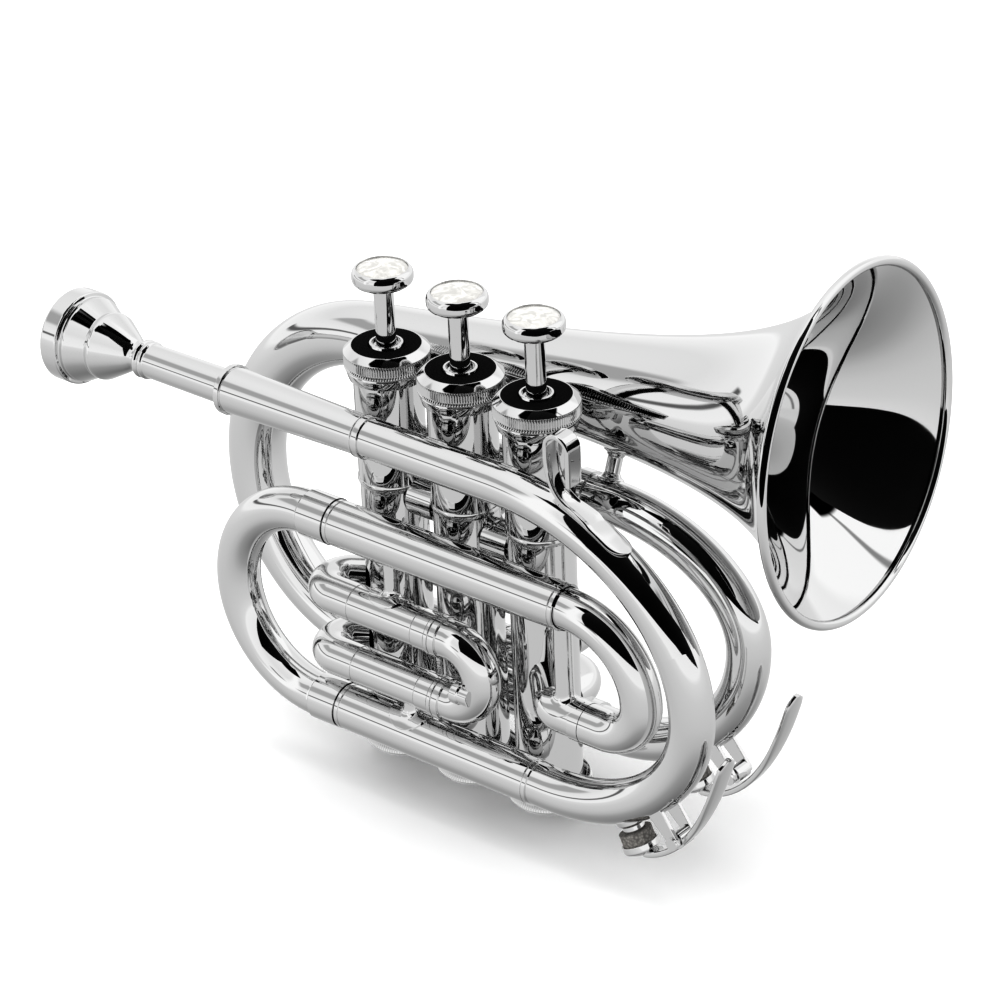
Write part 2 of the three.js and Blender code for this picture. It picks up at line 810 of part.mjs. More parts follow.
function keyEar(key, side) {
  const middle = side * (keyArmWidth / 2 + seatGap + keyEarThickness / 2);
  const outline = new THREE.Shape();
  outline.moveTo(-keyEarRoot, -keyEarRootWidth / 2);
  outline.lineTo(keyPivotOffset, -keyEarWidth / 2);
  outline.lineTo(keyPivotOffset + keyEarTip, 0);
  outline.lineTo(keyPivotOffset, keyEarWidth / 2);
  outline.lineTo(-keyEarRoot, keyEarRootWidth / 2);
  const plate = new THREE.ExtrudeGeometry(outline, { depth: keyEarThickness, bevelEnabled: false });
  plate.rotateX(Math.PI / 2);
  plate.translate(0, middle + keyEarThickness / 2, 0);
  const out = outOfBow(key.bow, keyPivotAngle);
  plate.rotateY(-Math.atan2(out.z, out.x));
  const foot = onKey(key, keyPivotAngle, 0);
  return plate.translate(foot.x, foot.y, foot.z);
}

function keyRod(key, low, high, radius) {
  return rod(onKey(key, keyCupAngle, low), onKey(key, keyCupAngle, high), radius);
}

function pivotRod(key, length, radius, sides = tubeSides) {
  const middle = onKey(key, keyPivotAngle, keyPivotOffset);
  const ends = [-length / 2, length / 2].map((side) => middle.clone().addScaledVector(axisY, side));
  return rod(ends[0], ends[1], radius, sides);
}

const keyEarSpan = keyArmWidth + 2 * seatGap + 2 * keyEarThickness;
function keyLever(key) {
  const bend = new THREE.QuadraticBezierCurve3(
    onKey(key, keyCupAngle, keyCupOffset),
    onKey(key, keyPivotAngle, 2 * keyBendOffset - keyCupOffset / 2 - key.tipOffset / 2),
    onKey(key, keyTipAngle, key.tipOffset),
  );
  const stations = Array.from({ length: leverRings + 1 }, (_, i) => ({
    point: bend.getPoint(i / leverRings),
    tangent: bend.getTangent(i / leverRings),
  }));
  const barAt = (station, i) => {
    const spread = i / leverRings > keyTipShare ? keyWidth : keyArmWidth;
    return [
      [keyThickness / 2, spread / 2],
      [-keyThickness / 2, spread / 2],
      [-keyThickness / 2, -spread / 2],
      [keyThickness / 2, -spread / 2],
    ];
  };
  const arm = closedSkin(loopsAlong(stations, barAt, outOfBow(key.bow, keyCupAngle)));
  const cupStart = keyNippleHeight + keyCorkHeight + 2 * seatGap;
  const cup = keyRod(key, cupStart, cupStart + keyCupHeight, keyCupRadius);
  const barrel = pivotRod(key, keyArmWidth, keyBarrelRadius);
  const pin = pivotRod(key, keyEarSpan, keyPinRadius, portSides);
  return join(arm, cup, barrel, pin);
}

function keyCork(key) {
  const start = keyNippleHeight + seatGap;
  return keyRod(key, start, start + keyCorkHeight, keyCorkRadius);
}

// A bow with the nipple of its water key and the two ears that hold the key's pin
function bowWithKeySeat(path, radius, key, bands = []) {
  const nipple = keyRod(key, -radius, keyNippleHeight, keyNippleRadius);
  const ears = [-1, 1].map((side) => keyEar(key, side));
  const outside = tube(path, radius, { wall: 0, bands });
  const bore = tube(path, radius - tubeWall, { wall: 0, sides: tubeSides / 2 });
  const pinHole = pivotRod(key, keyEarSpan + 2 * cutOverrun, keyPinRadius + runningClearance, portSides);
  return cut(join(outside, nipple, ...ears), bore, pinHole);
}

addPiece('leadpipe_bow', bowWithKeySeat(leadpipePath, leadpipeRadius, nearKey), silver);
addPiece('near_water_key', keyLever(nearKey), silver);
addPiece('near_water_key_cork', keyCork(nearKey), cork);

// Outer slide tubes and the tuning slide
addPiece('upper_outer_tube', slideTube(
  vec(outerSlideRearX, nearTubeY, upperSlideZ),
  vec(upperSlideFrontX, nearTubeY, upperSlideZ),
  outerSlideRadius,
), silver);
addPiece('lower_outer_tube', slideTube(
  vec(outerSlideRearX, nearTubeY, lowerSlideZ),
  vec(lowerSlideFrontX, nearTubeY, lowerSlideZ),
  outerSlideRadius,
), silver);

const innerLegRadius = outerSlideRadius - tubeWall - runningClearance;
const tuningBowRadius = (upperSlideZ - lowerSlideZ) / 2;
const tuningEndX = outerSlideRearX - seatGap;
const tuningPath = ovalBow({
  y: nearTubeY,
  tipX: tuningBowX - tuningBowRadius,
  tipZ: (upperSlideZ + lowerSlideZ) / 2,
  upperZ: upperSlideZ,
  lowerZ: lowerSlideZ,
  topReach: -tuningBowRadius,
  lowReach: -tuningBowRadius,
  startX: tuningEndX,
  endX: tuningEndX,
});

// Equal bands at both ends of a path
function endBands(path, from, to, radius) {
  const length = pathLength(path);
  return [{ from, to, radius }, { from: length - to, to: length - from, radius }];
}
addPiece('tuning_slide_crook', tube(tuningPath, bowRadius, {
  bands: endBands(tuningPath, 0, tuningEndX - tuningBowX, tuningFerruleRadius),
}), silver);
[['upper', upperSlideZ], ['lower', lowerSlideZ]].forEach(([place, z]) => {
  addPiece(`tuning_slide_${place}_leg`, slideTube(
    vec(outerSlideRearX, nearTubeY, z),
    vec(outerSlideRearX + tuningLegReach, nearTubeY, z),
    innerLegRadius,
  ), silver);
});

// Inner front bow and the elbow that enters the third valve
addPiece('entry_bow', tube(ovalBow({
  y: nearTubeY,
  tipX: innerBowTipX,
  tipZ: innerBowTipZ,
  upperZ: upperSlideZ,
  lowerZ: innerBowLowZ,
  topReach: innerBowTopReach,
  lowReach: innerBowLowReach,
  startX: upperSlideFrontX + seatGap,
  endX: entryRingX + seatGap,
}), leadpipeRadius), silver);
const entryPath = bentPath([
  vec(entryRingX, nearTubeY, innerBowLowZ),
  vec(entryCornerX, nearTubeY, innerBowLowZ),
  vec(valveX(2), 0, innerBowLowZ),
], entryBend);
addPiece('entry_elbow', cut(tube(entryPath, entryElbowRadius), casingSpace(2)), silver);

// Valve slides: two sleeves with elbows on the casing, and the crook that slides in them
function sleeveWithElbow(index, corner, sleeveEnd) {
  const path = bentPath([vec(valveX(index), 0, corner.z), corner, sleeveEnd], elbowBend);
  return cut(tube(path, elbowRadius, { wall: slideWall, boreSides: tubeSides }), casingSpace(index));
}

[['upper', firstUpperZ], ['lower', firstLowerZ]].forEach(([place, z]) => {
  const corner = vec(firstCornerX, nearTubeY, z);
  const sleeveEnd = vec(firstSleeveX, nearTubeY, z);
  addPiece(`first_slide_${place}_sleeve`, sleeveWithElbow(0, corner, sleeveEnd), silver);
});
[['upper', secondUpperZ], ['lower', secondLowerZ]].forEach(([place, z]) => {
  const sleeveEnd = vec(valveX(1), secondSleeveY, z);
  const body = slideTube(vec(valveX(1), 0, z), sleeveEnd, secondSleeveRadius, slideWall);
  addPiece(`second_slide_${place}_sleeve`, cut(body, casingSpace(1)), silver);
});
[['upper', thirdUpperZ], ['lower', thirdLowerZ]].forEach(([place, z]) => {
  const corner = vec(valveX(2), thirdY, z);
  const sleeveEnd = vec(thirdSleeveX, thirdY, z);
  addPiece(`third_slide_${place}_sleeve`, sleeveWithElbow(2, corner, sleeveEnd), silver);
});

// A crook: a U-shaped bow with a ferrule and a straight inner leg on each end
function slideCrook({ upper, lower, outward, crookStart, bowEnd, legReach, radius, legRadius }) {
  const at = (base, along) => base.clone().addScaledVector(outward, along);
  const bend = upper.distanceTo(lower) / 2;
  const path = bentPath([
    at(upper, crookStart - legReach),
    at(upper, bowEnd + bend),
    at(lower, bowEnd + bend),
    at(lower, crookStart - legReach),
  ], bend);
  return tube(path, radius, {
    boreRadius: legRadius - slideWall,
    bands: [
      ...endBands(path, 0, legReach, legRadius),
      ...endBands(path, legReach, legReach + crookFerruleLength, radius + crookFerruleRadius - crookRadius),
    ],
  });
}

// A pull knob: a neck from the crook's middle line and a rounder head
function pullKnob(foot, outward) {
  const at = (along) => foot.clone().addScaledVector(outward, along);
  const length = crookRadius + pullKnobLength;
  const path = bentPath([at(0), at(length)], 0);
  const head = { from: length - pullKnobHeadLength, to: length, radius: pullKnobRadius };
  return tube(path, pullKnobNeckRadius, { wall: 0, sides: portSides, bands: [head] });
}

const elbowLegRadius = elbowRadius - slideWall - runningClearance;
const firstBend = (firstUpperZ - firstLowerZ) / 2;
const firstCrook = slideCrook({
  upper: vec(0, nearTubeY, firstUpperZ),
  lower: vec(0, nearTubeY, firstLowerZ),
  outward: axisX,
  crookStart: firstSleeveX + seatGap,
  bowEnd: firstCrookX,
  legReach: firstLegReach,
  radius: crookRadius,
  legRadius: elbowLegRadius,
});
const firstKnobZ = (firstUpperZ + firstLowerZ) / 2 - pullKnobDrop;
const firstKnobFoot = vec(firstCrookX + firstBend, nearTubeY, firstKnobZ);
const crookBore = (foot, along) => rod(
  foot.clone().addScaledVector(along, -crookRadius),
  foot.clone().addScaledVector(along, crookRadius),
  elbowLegRadius - slideWall,
  tubeSides / 2,
);
addPiece('first_slide_crook', join(firstCrook, cut(
  pullKnob(firstKnobFoot, axisX.clone().negate()),
  crookBore(firstKnobFoot, axisZ),
)), silver);

const secondBend = (secondUpperZ - secondLowerZ) / 2;
const secondCrook = slideCrook({
  upper: vec(0, 0, secondUpperZ),
  lower: vec(0, 0, secondLowerZ),
  outward: axisY,
  crookStart: secondSleeveY + seatGap,
  bowEnd: secondCrookY,
  legReach: secondLegReach,
  radius: secondCrookRadius,
  legRadius: secondSleeveRadius - slideWall - runningClearance,
});
const secondKnobFoot = vec(0, secondCrookY + secondBend, (secondUpperZ + secondLowerZ) / 2);
addPiece('second_slide_crook', join(secondCrook, cut(
  pullKnob(secondKnobFoot, axisY),
  crookBore(secondKnobFoot, axisZ),
)), silver);

addPiece('third_slide_crook', slideCrook({
  upper: vec(0, thirdY, thirdUpperZ),
  lower: vec(0, thirdY, thirdLowerZ),
  outward: axisX.clone().negate(),
  crookStart: -thirdSleeveX + seatGap,
  bowEnd: -thirdCrookX,
  legReach: thirdLegReach,
  radius: crookRadius,
  legRadius: elbowLegRadius,
}), silver);

// Finger ring, standing out from the upper tube of the third slide's crook on a short foot
function fingerRing() {
  const count = turnedSides;
  const ringY = thirdY + crookRadius + seatGap + fingerRingFootRadius + fingerRingRadius;
  const outline = Array.from({ length: portSides }, (_, i) => {
    const angle = 2 * Math.PI * i / portSides;
    return [fingerRingWire * Math.sin(angle), fingerRingRadius + fingerRingWire * Math.cos(angle)];
  });
  const ring = turned(outline, count);
  ring.translate(fingerRingX, ringY, thirdUpperZ);
  const foot = rod(
    vec(fingerRingX, thirdY, thirdUpperZ),
    vec(fingerRingX, ringY - fingerRingRadius, thirdUpperZ),
    fingerRingFootRadius,
    portSides,
  );
  const tubeSpace = rod(
    vec(thirdCrookX, thirdY, thirdUpperZ),
    vec(thirdSleeveX, thirdY, thirdUpperZ),
    crookRadius + seatGap,
  );
  return cut(join(ring, foot), tubeSpace);
}
addPiece('third_slide_finger_ring', fingerRing(), silver);

// Bell branch: from the first valve to the far bow, back along the bottom and up into the bell
const bellAxis = vec(
  Math.cos(bellYaw) * Math.cos(bellPitch),
  Math.sin(bellYaw) * Math.cos(bellPitch),
  Math.sin(bellPitch),
);
const bellRim = vec(bellRimX, bellRimY, bellRimZ);
addPiece('bell_branch_leg', cut(tube(bentPath([
  vec(valveX(0), 0, farUpperZ),
  vec(valveX(0), farTubeY, farUpperZ),
  vec(farJointX, farTubeY, farUpperZ),
], branchBend), farTubeRadius), casingSpace(0)), silver);
const farBowPath = ovalBow(farBow);
const farFerrules = endBands(farBowPath, 0, farFerruleLength, farFerruleRadius);
addPiece('far_bow', bowWithKeySeat(farBowPath, farTubeRadius, farKey, farFerrules), silver);
addPiece('far_water_key', keyLever(farKey), silver);
addPiece('far_water_key_cork', keyCork(farKey), cork);

const bellStart = bellRim.clone().addScaledVector(bellAxis, -bellLength);
const bellBowTop = bellStart.clone().addScaledVector(bellAxis, -seatGap);
function bellBowStations() {
  const bottom = vec(bellBowX, farTubeY, farLowerZ);
  const rise = (bellBowTop.z - bottom.z) / 2;
  const rearward = axisX.clone().negate();
  const stations = [
    { point: vec(farJointX, farTubeY, farLowerZ), tangent: rearward },
    { point: vec(bellBowX + bellBowRun, farTubeY, farLowerZ), tangent: rearward },
  ];
  for (let k = 0; k <= bellBowRings; k += 1) {
    const share = k / bellBowRings;
    const turn = Math.PI * share;
    const swing = (1 - Math.cos(turn)) / 2;
    const drift = bellBowTop.x - bellBowX;
    const x = bellBowX + drift * share * share - rise * Math.sin(turn);
    const y = farTubeY + (bellBowTop.y - farTubeY) * swing;
    const tangent = vec(
      2 * drift * share / Math.PI - rise * Math.cos(turn),
      (bellBowTop.y - farTubeY) * Math.sin(turn) / 2,
      rise * Math.sin(turn),
    ).normalize();
    stations.push({ point: vec(x, y, bottom.z + 2 * rise * swing), tangent });
  }
  stations[stations.length - 1].tangent.copy(bellAxis);
  return stations;
}
const bellBowPath = bellBowStations();
const bowStartShare = lengthsAlong(bellBowPath)[1] / pathLength(bellBowPath);
function bellBowRadiusAt(share) {
  const grow = Math.max(0, (share - bowStartShare) / (1 - bowStartShare)) ** bellBowGrowthPower;
  return bellBowStartRadius + (bellBowEndRadius - bellBowStartRadius) * grow;
}
addPiece('bell_bow', tube(bellBowPath, bellBowRadiusAt, {
  wall: bellWall,
  bands: [{ from: 0, to: farFerruleLength, radius: farFerruleRadius }],
}), silver);

function bellRadiusAt(distance) {
  return bellRimRadius * (bellFlareLength / (distance + bellFlareLength)) ** bellFlarePower;
}

// Turned round the bell's axis, from its small end to its rim
function alongBell(profile) {
  const geometry = turnedAlongX(profile, bellSides);
  geometry.applyQuaternion(new THREE.Quaternion().setFromUnitVectors(axisX, bellAxis));
  return geometry.translate(bellRim.x, bellRim.y, bellRim.z);
}

// Outside profiles of the flare and of the stem behind its seam
function bellProfile(from, to, rings) {
  return Array.from({ length: rings + 1 }, (_, i) => {
    const distance = Math.sqrt(from) + (Math.sqrt(to) - Math.sqrt(from)) * i / rings;
    return [-(distance ** 2), bellRadiusAt(distance ** 2)];
  });
}

const flareProfile = bellProfile(0, bellSeamDistance, flareRings);
const stemProfile = bellProfile(bellSeamDistance + seatGap, bellLength, stemRings);
function withInside(outside) {
  return outside.map(([x, radius]) => [x, radius - bellWall]);
}

function bellFlare() {
  const bead = Array.from({ length: beadSteps + 1 }, (_, i) => {
    const angle = Math.PI * i / beadSteps;
    const out = bellBeadRadius * (1 + Math.cos(angle));
    return [bellBeadRadius * Math.sin(angle), bellRimRadius - out];
  });
  return alongBell([...withInside(flareProfile).slice(1).reverse(), ...bead, ...flareProfile.slice(1)]);
}
addPiece('bell', bellFlare(), silver);
addPiece('bell_stem', alongBell([...withInside(stemProfile).reverse(), ...stemProfile]), silver);

// Braces: a post with a flange at each end, shaped to the tubes that it stands between
function brace(start, end, postRadius, flangeRadii) {
  const path = bentPath([start, end], 0);
  const length = pathLength(path);
  const bands = [];
  if (flangeRadii[0] > 0) bands.push({ from: 0, to: braceFlangeHeight, radius: flangeRadii[0] });
  if (flangeRadii[1] > 0) {
    bands.push({ from: length - braceFlangeHeight, to: length, radius: flangeRadii[1] });
  }
  return tube(path, postRadius, { wall: 0, bands });
}

function tubeSpaceAlongX(y, z, radius) {
  return rod(vec(-bellLength, y, z), vec(bellLength, y, z), radius + seatGap);
}

const upperOuterSpace = tubeSpaceAlongX(nearTubeY, upperSlideZ, outerSlideRadius);
const lowerOuterSpace = tubeSpaceAlongX(nearTubeY, lowerSlideZ, outerSlideRadius);
addPiece('first_slide_upper_brace', cut(brace(
  vec(upperBraceX, nearTubeY, upperSlideZ - outerSlideRadius + braceFlangeHeight),
  vec(upperBraceX, nearTubeY, firstUpperZ + elbowRadius - braceFlangeHeight),
  bracePostRadius,
  [0, braceFlangeRadius],
), upperOuterSpace, tubeSpaceAlongX(nearTubeY, firstUpperZ, elbowRadius)), silver);
addPiece('first_slide_lower_brace', cut(brace(
  vec(lowerBraceX, nearTubeY, firstLowerZ - elbowRadius + braceFlangeHeight),
  vec(lowerBraceX, nearTubeY, lowerSlideZ + outerSlideRadius - braceFlangeHeight),
  bracePostRadius,
  [0, braceFlangeRadius],
), lowerOuterSpace, tubeSpaceAlongX(nearTubeY, firstLowerZ, elbowRadius)), silver);
addPiece('entry_brace', cut(brace(
  vec(entryBraceX, nearTubeY, upperSlideZ - outerSlideRadius + braceFlangeHeight),
  vec(entryBraceX, nearTubeY, innerBowLowZ + entryElbowRadius - braceFlangeHeight),
  entryPostRadius,
  [0, braceFlangeRadius],
), upperOuterSpace, tube(entryPath, entryElbowRadius + seatGap, { wall: 0 })), silver);

// The bell's two braces, to the far bow's upper leg and to the middle valve
function bellCentreAt(x) {
  return bellRim.clone().addScaledVector(bellAxis, (x - bellRim.x) / bellAxis.x);
}
const bellSpace = alongBell([
  [-bellLength, 0],
  ...[...flareProfile, ...stemProfile].map(([x, radius]) => [x, radius + seatGap]).reverse(),
  [0, 0],
]);
const frontBraceFoot = vec(frontBraceX, farTubeY, farUpperZ);
const towardsBell = bellCentreAt(frontBraceX).sub(frontBraceFoot);
const frontBraceReach = towardsBell.length();
towardsBell.normalize();
const frontFlangeFoot = farTubeRadius - braceFlangeHeight / 2;
const frontFlangeHead = frontBraceReach - bellRadiusAt(bellRimX - frontBraceX) + braceFlangeHeight / 2;
addPiece('bell_front_brace', cut(brace(
  frontBraceFoot.clone().addScaledVector(towardsBell, frontFlangeFoot),
  frontBraceFoot.clone().addScaledVector(towardsBell, frontFlangeHead),
  bracePostRadius,
  [frontBraceFlangeRadius, frontBraceFlangeRadius],
), tubeSpaceAlongX(farTubeY, farUpperZ, farTubeRadius), bellSpace), silver);
addPiece('bell_rear_brace', cut(brace(
  vec(valveX(1), casingUpperRadius - braceFlangeHeight, rearBraceZ),
  vec(valveX(1), bellCentreAt(valveX(1)).y, rearBraceZ),
  bracePostRadius,
  [frontBraceFlangeRadius, 0],
), casingSpace(1), bellSpace), silver);

// Finger hook: a strip saddled on the bow, narrowed at its neck and folded up, over and down again
function fingerHook() {
  const base = leadpipeRadius + seatGap + hookThickness / 2;
  const stations = [];
  for (let k = 0; k <= hookSaddleRings; k += 1) {
    const share = k / hookSaddleRings;
    const angle = hookEndAngle + (hookNeckAngle - hookEndAngle) * share;
    const out = outOfBow(outerBow, angle);
    stations.push({
      point: onBow(outerBow, angle, base).setY(hookY),
      tangent: vec(-out.z, 0, out.x),
      width: hookSaddleWidth + (hookCurlWidth - hookSaddleWidth) * share ** 2,
      round: base,
    });
  }
  const neck = stations[stations.length - 1].point;
  const curlRadius = (hookFrontX - hookBackX - hookThickness) / 2;
  const curlX = hookBackX + hookThickness / 2 + curlRadius;
  const curlZ = hookTopZ - hookThickness / 2 - curlRadius;
  const flat = { width: hookCurlWidth, round: hookCurlWidth * tubeSides };
  const heelX = curlX - curlRadius + (neck.x - curlX + curlRadius) * hookHeelShares[0];
  const heelZ = neck.z + (curlZ - neck.z) * hookHeelShares[1];
  stations.push({
    point: vec(heelX, hookY, heelZ),
    tangent: vec(heelX - neck.x, 0, 2 * (heelZ - neck.z)).normalize(),
    ...flat,
  });
  for (let k = 0; k <= hookCurlRings; k += 1) {
    const angle = Math.PI - Math.PI * k / hookCurlRings;
    stations.push({
      point: vec(curlX + curlRadius * Math.cos(angle), hookY, curlZ + curlRadius * Math.sin(angle)),
      tangent: vec(Math.sin(angle), 0, -Math.cos(angle)),
      ...flat,
    });
  }
  stations.push({ point: vec(curlX + curlRadius, hookY, hookTipZ), tangent: vec(0, 0, -1), ...flat });
  const strip = ({ width, round }) => {
    const at = (place, lift) => {
      const angle = place * width / round;
      return [(round + lift) * Math.cos(angle) - round, (round + lift) * Math.sin(angle)];
    };
    const top = hookPlaceShares.map((place) => at(place, hookThickness / 2));
    const bottom = hookPlaceShares.map((place) => at(place, -hookThickness / 2));
    return [...top, ...bottom.reverse()];
  };
  return closedSkin(loopsAlong(stations, strip, outOfBow(outerBow, hookEndAngle)));
}
addPiece('finger_hook', fingerHook(), silver);

export default trumpet;
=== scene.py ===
"""A pocket trumpet in silver plate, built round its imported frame: smooth tubes, caps, keys and finishes.

Sizes are in millimetres and become metres when a mesh is made. +X points to the bell, +Y to the player's
left, +Z up; the origin is on the middle valve's axis, halfway up the casings.
"""
import logging
import math
from collections.abc import Callable
from dataclasses import dataclass, field
from enum import Enum

import bmesh
import bpy
from bpy.types import Material, Mesh, Node, NodeSocket, NodeTree, Object
from mathutils import Matrix, Quaternion, Vector


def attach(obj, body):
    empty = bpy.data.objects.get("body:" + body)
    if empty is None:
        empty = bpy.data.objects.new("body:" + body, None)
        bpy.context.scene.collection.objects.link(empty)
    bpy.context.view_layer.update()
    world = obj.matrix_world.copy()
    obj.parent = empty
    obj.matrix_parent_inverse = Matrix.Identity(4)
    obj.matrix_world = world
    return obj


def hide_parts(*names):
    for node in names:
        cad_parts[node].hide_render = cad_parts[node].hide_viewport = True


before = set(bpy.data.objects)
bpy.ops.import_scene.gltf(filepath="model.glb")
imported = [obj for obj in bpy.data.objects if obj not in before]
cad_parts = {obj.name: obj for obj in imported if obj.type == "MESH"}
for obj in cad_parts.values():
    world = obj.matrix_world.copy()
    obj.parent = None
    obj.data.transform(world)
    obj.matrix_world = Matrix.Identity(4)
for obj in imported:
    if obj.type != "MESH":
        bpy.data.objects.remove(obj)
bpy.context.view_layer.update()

LOG = logging.getLogger("pocket_trumpet")
MM = 0.001
AXIS_X = Vector((1, 0, 0))
AXIS_Y = Vector((0, 1, 0))
AXIS_Z = Vector((0, 0, 1))
# The wave texture turns through this many radians in one unit
WAVE_TURNS = 20
# A rounded corner takes no more of an edge than the edge's length over this
EDGE_PARTS = 2.2
FLAT_CORNER = math.radians(165)
# A direction whose Z part is above this counts as upright
UPRIGHT = 0.5
# Points closer than these count as one, in millimetres
SAME_POINT = 0.01
MARK_GAP = 0.02
WELD = 0.001
SAME_LENGTH = 1e-6

Pair = tuple[float, float]
Steps = tuple[Pair, ...]
Profile = list[Pair]
Bands = list[tuple[float, float, float]]
Section = tuple[float, float, float, float]
Ring = list[Vector]


class Body(Enum):
    """The moving bodies that a piece can ride on."""

    HORN = "horn"
    MOUTHPIECE = "mouthpiece_body"
    VALVE_1 = "valve_1_body"
    VALVE_2 = "valve_2_body"
    VALVE_3 = "valve_3_body"
    TUNING_SLIDE = "tuning_slide_body"
    FIRST_SLIDE = "first_slide_body"
    SECOND_SLIDE = "second_slide_body"
    THIRD_SLIDE = "third_slide_body"
    NEAR_KEY = "near_water_key_body"
    FAR_KEY = "far_water_key_body"


class Slot(Enum):
    """The record's material slots, passed along with the scene's own pieces."""

    SILVER = "silver_plate"
    PEARL = "pearl"
    CORK = "cork"


# Colour and node helpers
def linear(hex_colour: str) -> tuple[float, float, float, float]:
    """Turns an sRGB hex colour to linear light.

    Args:
        hex_colour: six hex digits, such as "F4F4F5".

    Returns:
        Red, green, blue and alpha.
    """
    values = [int(hex_colour[i:i + 2], 16) / 255 for i in (0, 2, 4)]
    curve = [v / 12.92 if v <= 0.04045 else ((v + 0.055) / 1.055) ** 2.4 for v in values]
    return (curve[0], curve[1], curve[2], 1.0)


def add_node(tree: NodeTree, kind: str, settings: dict | None = None,
             inputs: dict | None = None) -> Node:
    """Adds a node with its settings, socket values and links.

    Args:
        tree: the node tree.
        kind: the node's type name.
        settings: properties of the node.
        inputs: socket name or index to a value, or to an output socket that is linked to it.

    Returns:
        The new node.
    """
    node = tree.nodes.new(kind)
    for key, value in (settings or {}).items():
        setattr(node, key, value)
    for key, value in (inputs or {}).items():
        if isinstance(value, NodeSocket):
            tree.links.new(value, node.inputs[key])
        else:
            node.inputs[key].default_value = value
    return node


@dataclass(frozen=True)
class Finish:
    """A finish starts as a Principled shader on coordinates in metres."""

    name: str

    def start(self) -> tuple[Material, NodeTree, Node, NodeSocket]:
        """Makes the material with its shader and object coordinates.

        Returns:
            The material, its tree, its Principled shader and the coordinate socket.
        """
        material = bpy.data.materials.new(self.name)
        material.use_nodes = True
        tree = material.node_tree
        shader = tree.nodes["Principled BSDF"]
        place = add_node(tree, "ShaderNodeTexCoord").outputs["Object"]
        return material, tree, shader, place

    def build(self) -> Material:
        """Makes the finish's material."""
        raise NotImplementedError


@dataclass(frozen=True)
class SilverPlate(Finish):
    """Silver electroplated over buffed brass: a near-white mirror with the faint waves of hand buffing."""

    colour: str = "E3E3E3"
    roughness_low: float = 0.015
    roughness_high: float = 0.06
    haze_mm: float = 14.0
    haze_detail: float = 4.0
    haze_roughness: float = 0.6
    haze_shares: Pair = (0.35, 0.75)
    wave_mm: float = 9.0
    wave_detail: float = 1.0
    wave_height_mm: float = 0.012

    def build(self) -> Material:
        """Makes the plate: clouds of slightly duller mirror, and a low wave in the surface.

        Returns:
            The material.
        """
        material, tree, shader, place = self.start()
        shader.inputs["Base Color"].default_value = linear(self.colour)
        shader.inputs["Metallic"].default_value = 1.0
        haze = add_node(tree, "ShaderNodeTexNoise", {}, {
            "Vector": place, "Scale": 1 / (self.haze_mm * MM), "Detail": self.haze_detail,
            "Roughness": self.haze_roughness})
        dull = add_node(tree, "ShaderNodeMapRange", {}, {
            "Value": haze.outputs[0], "From Min": self.haze_shares[0], "From Max": self.haze_shares[1],
            "To Min": self.roughness_low, "To Max": self.roughness_high})
        tree.links.new(dull.outputs[0], shader.inputs["Roughness"])
        wave = add_node(tree, "ShaderNodeTexNoise", {}, {
            "Vector": place, "Scale": 1 / (self.wave_mm * MM), "Detail": self.wave_detail})
        bump = add_node(tree, "ShaderNodeBump", {}, {
            "Height": wave.outputs[0], "Distance": self.wave_height_mm * MM, "Strength": 1.0})
        tree.links.new(bump.outputs["Normal"], shader.inputs["Normal"])
        return material


@dataclass(frozen=True)
class HonedNickel(Finish):
    """Nickel alloy honed round a piston: fine rings that spread the highlight along the axis."""

    colour: str = "C9CACB"
    roughness_low: float = 0.2
    roughness_high: float = 0.36
    # Honing leaves marks some hundredths of a millimetre apart; these are drawn coarser so that they show
    ring_mm: float = 1.57
    ring_distortion: float = 2.0
    ring_detail: float = 3.0
    ring_depth_mm: float = 0.01
    ring_strength: float = 0.5

    def build(self) -> Material:
        """Makes the honed rings as a bump and a change of roughness.

        Returns:
            The material.
        """
        material, tree, shader, place = self.start()
        shader.inputs["Base Color"].default_value = linear(self.colour)
        shader.inputs["Metallic"].default_value = 1.0
        rings = add_node(tree, "ShaderNodeTexWave", {"bands_direction": "Z"}, {
            "Vector": place, "Scale": 2 * math.pi / (self.ring_mm * MM * WAVE_TURNS),
            "Distortion": self.ring_distortion, "Detail": self.ring_detail})
        dull = add_node(tree, "ShaderNodeMapRange", {}, {
            "Value": rings.outputs["Fac"], "To Min": self.roughness_low, "To Max": self.roughness_high})
        tree.links.new(dull.outputs[0], shader.inputs["Roughness"])
        bump = add_node(tree, "ShaderNodeBump", {}, {
            "Height": rings.outputs["Fac"], "Distance": self.ring_depth_mm * MM,
            "Strength": self.ring_strength})
        tree.links.new(bump.outputs["Normal"], shader.inputs["Normal"])
        return material


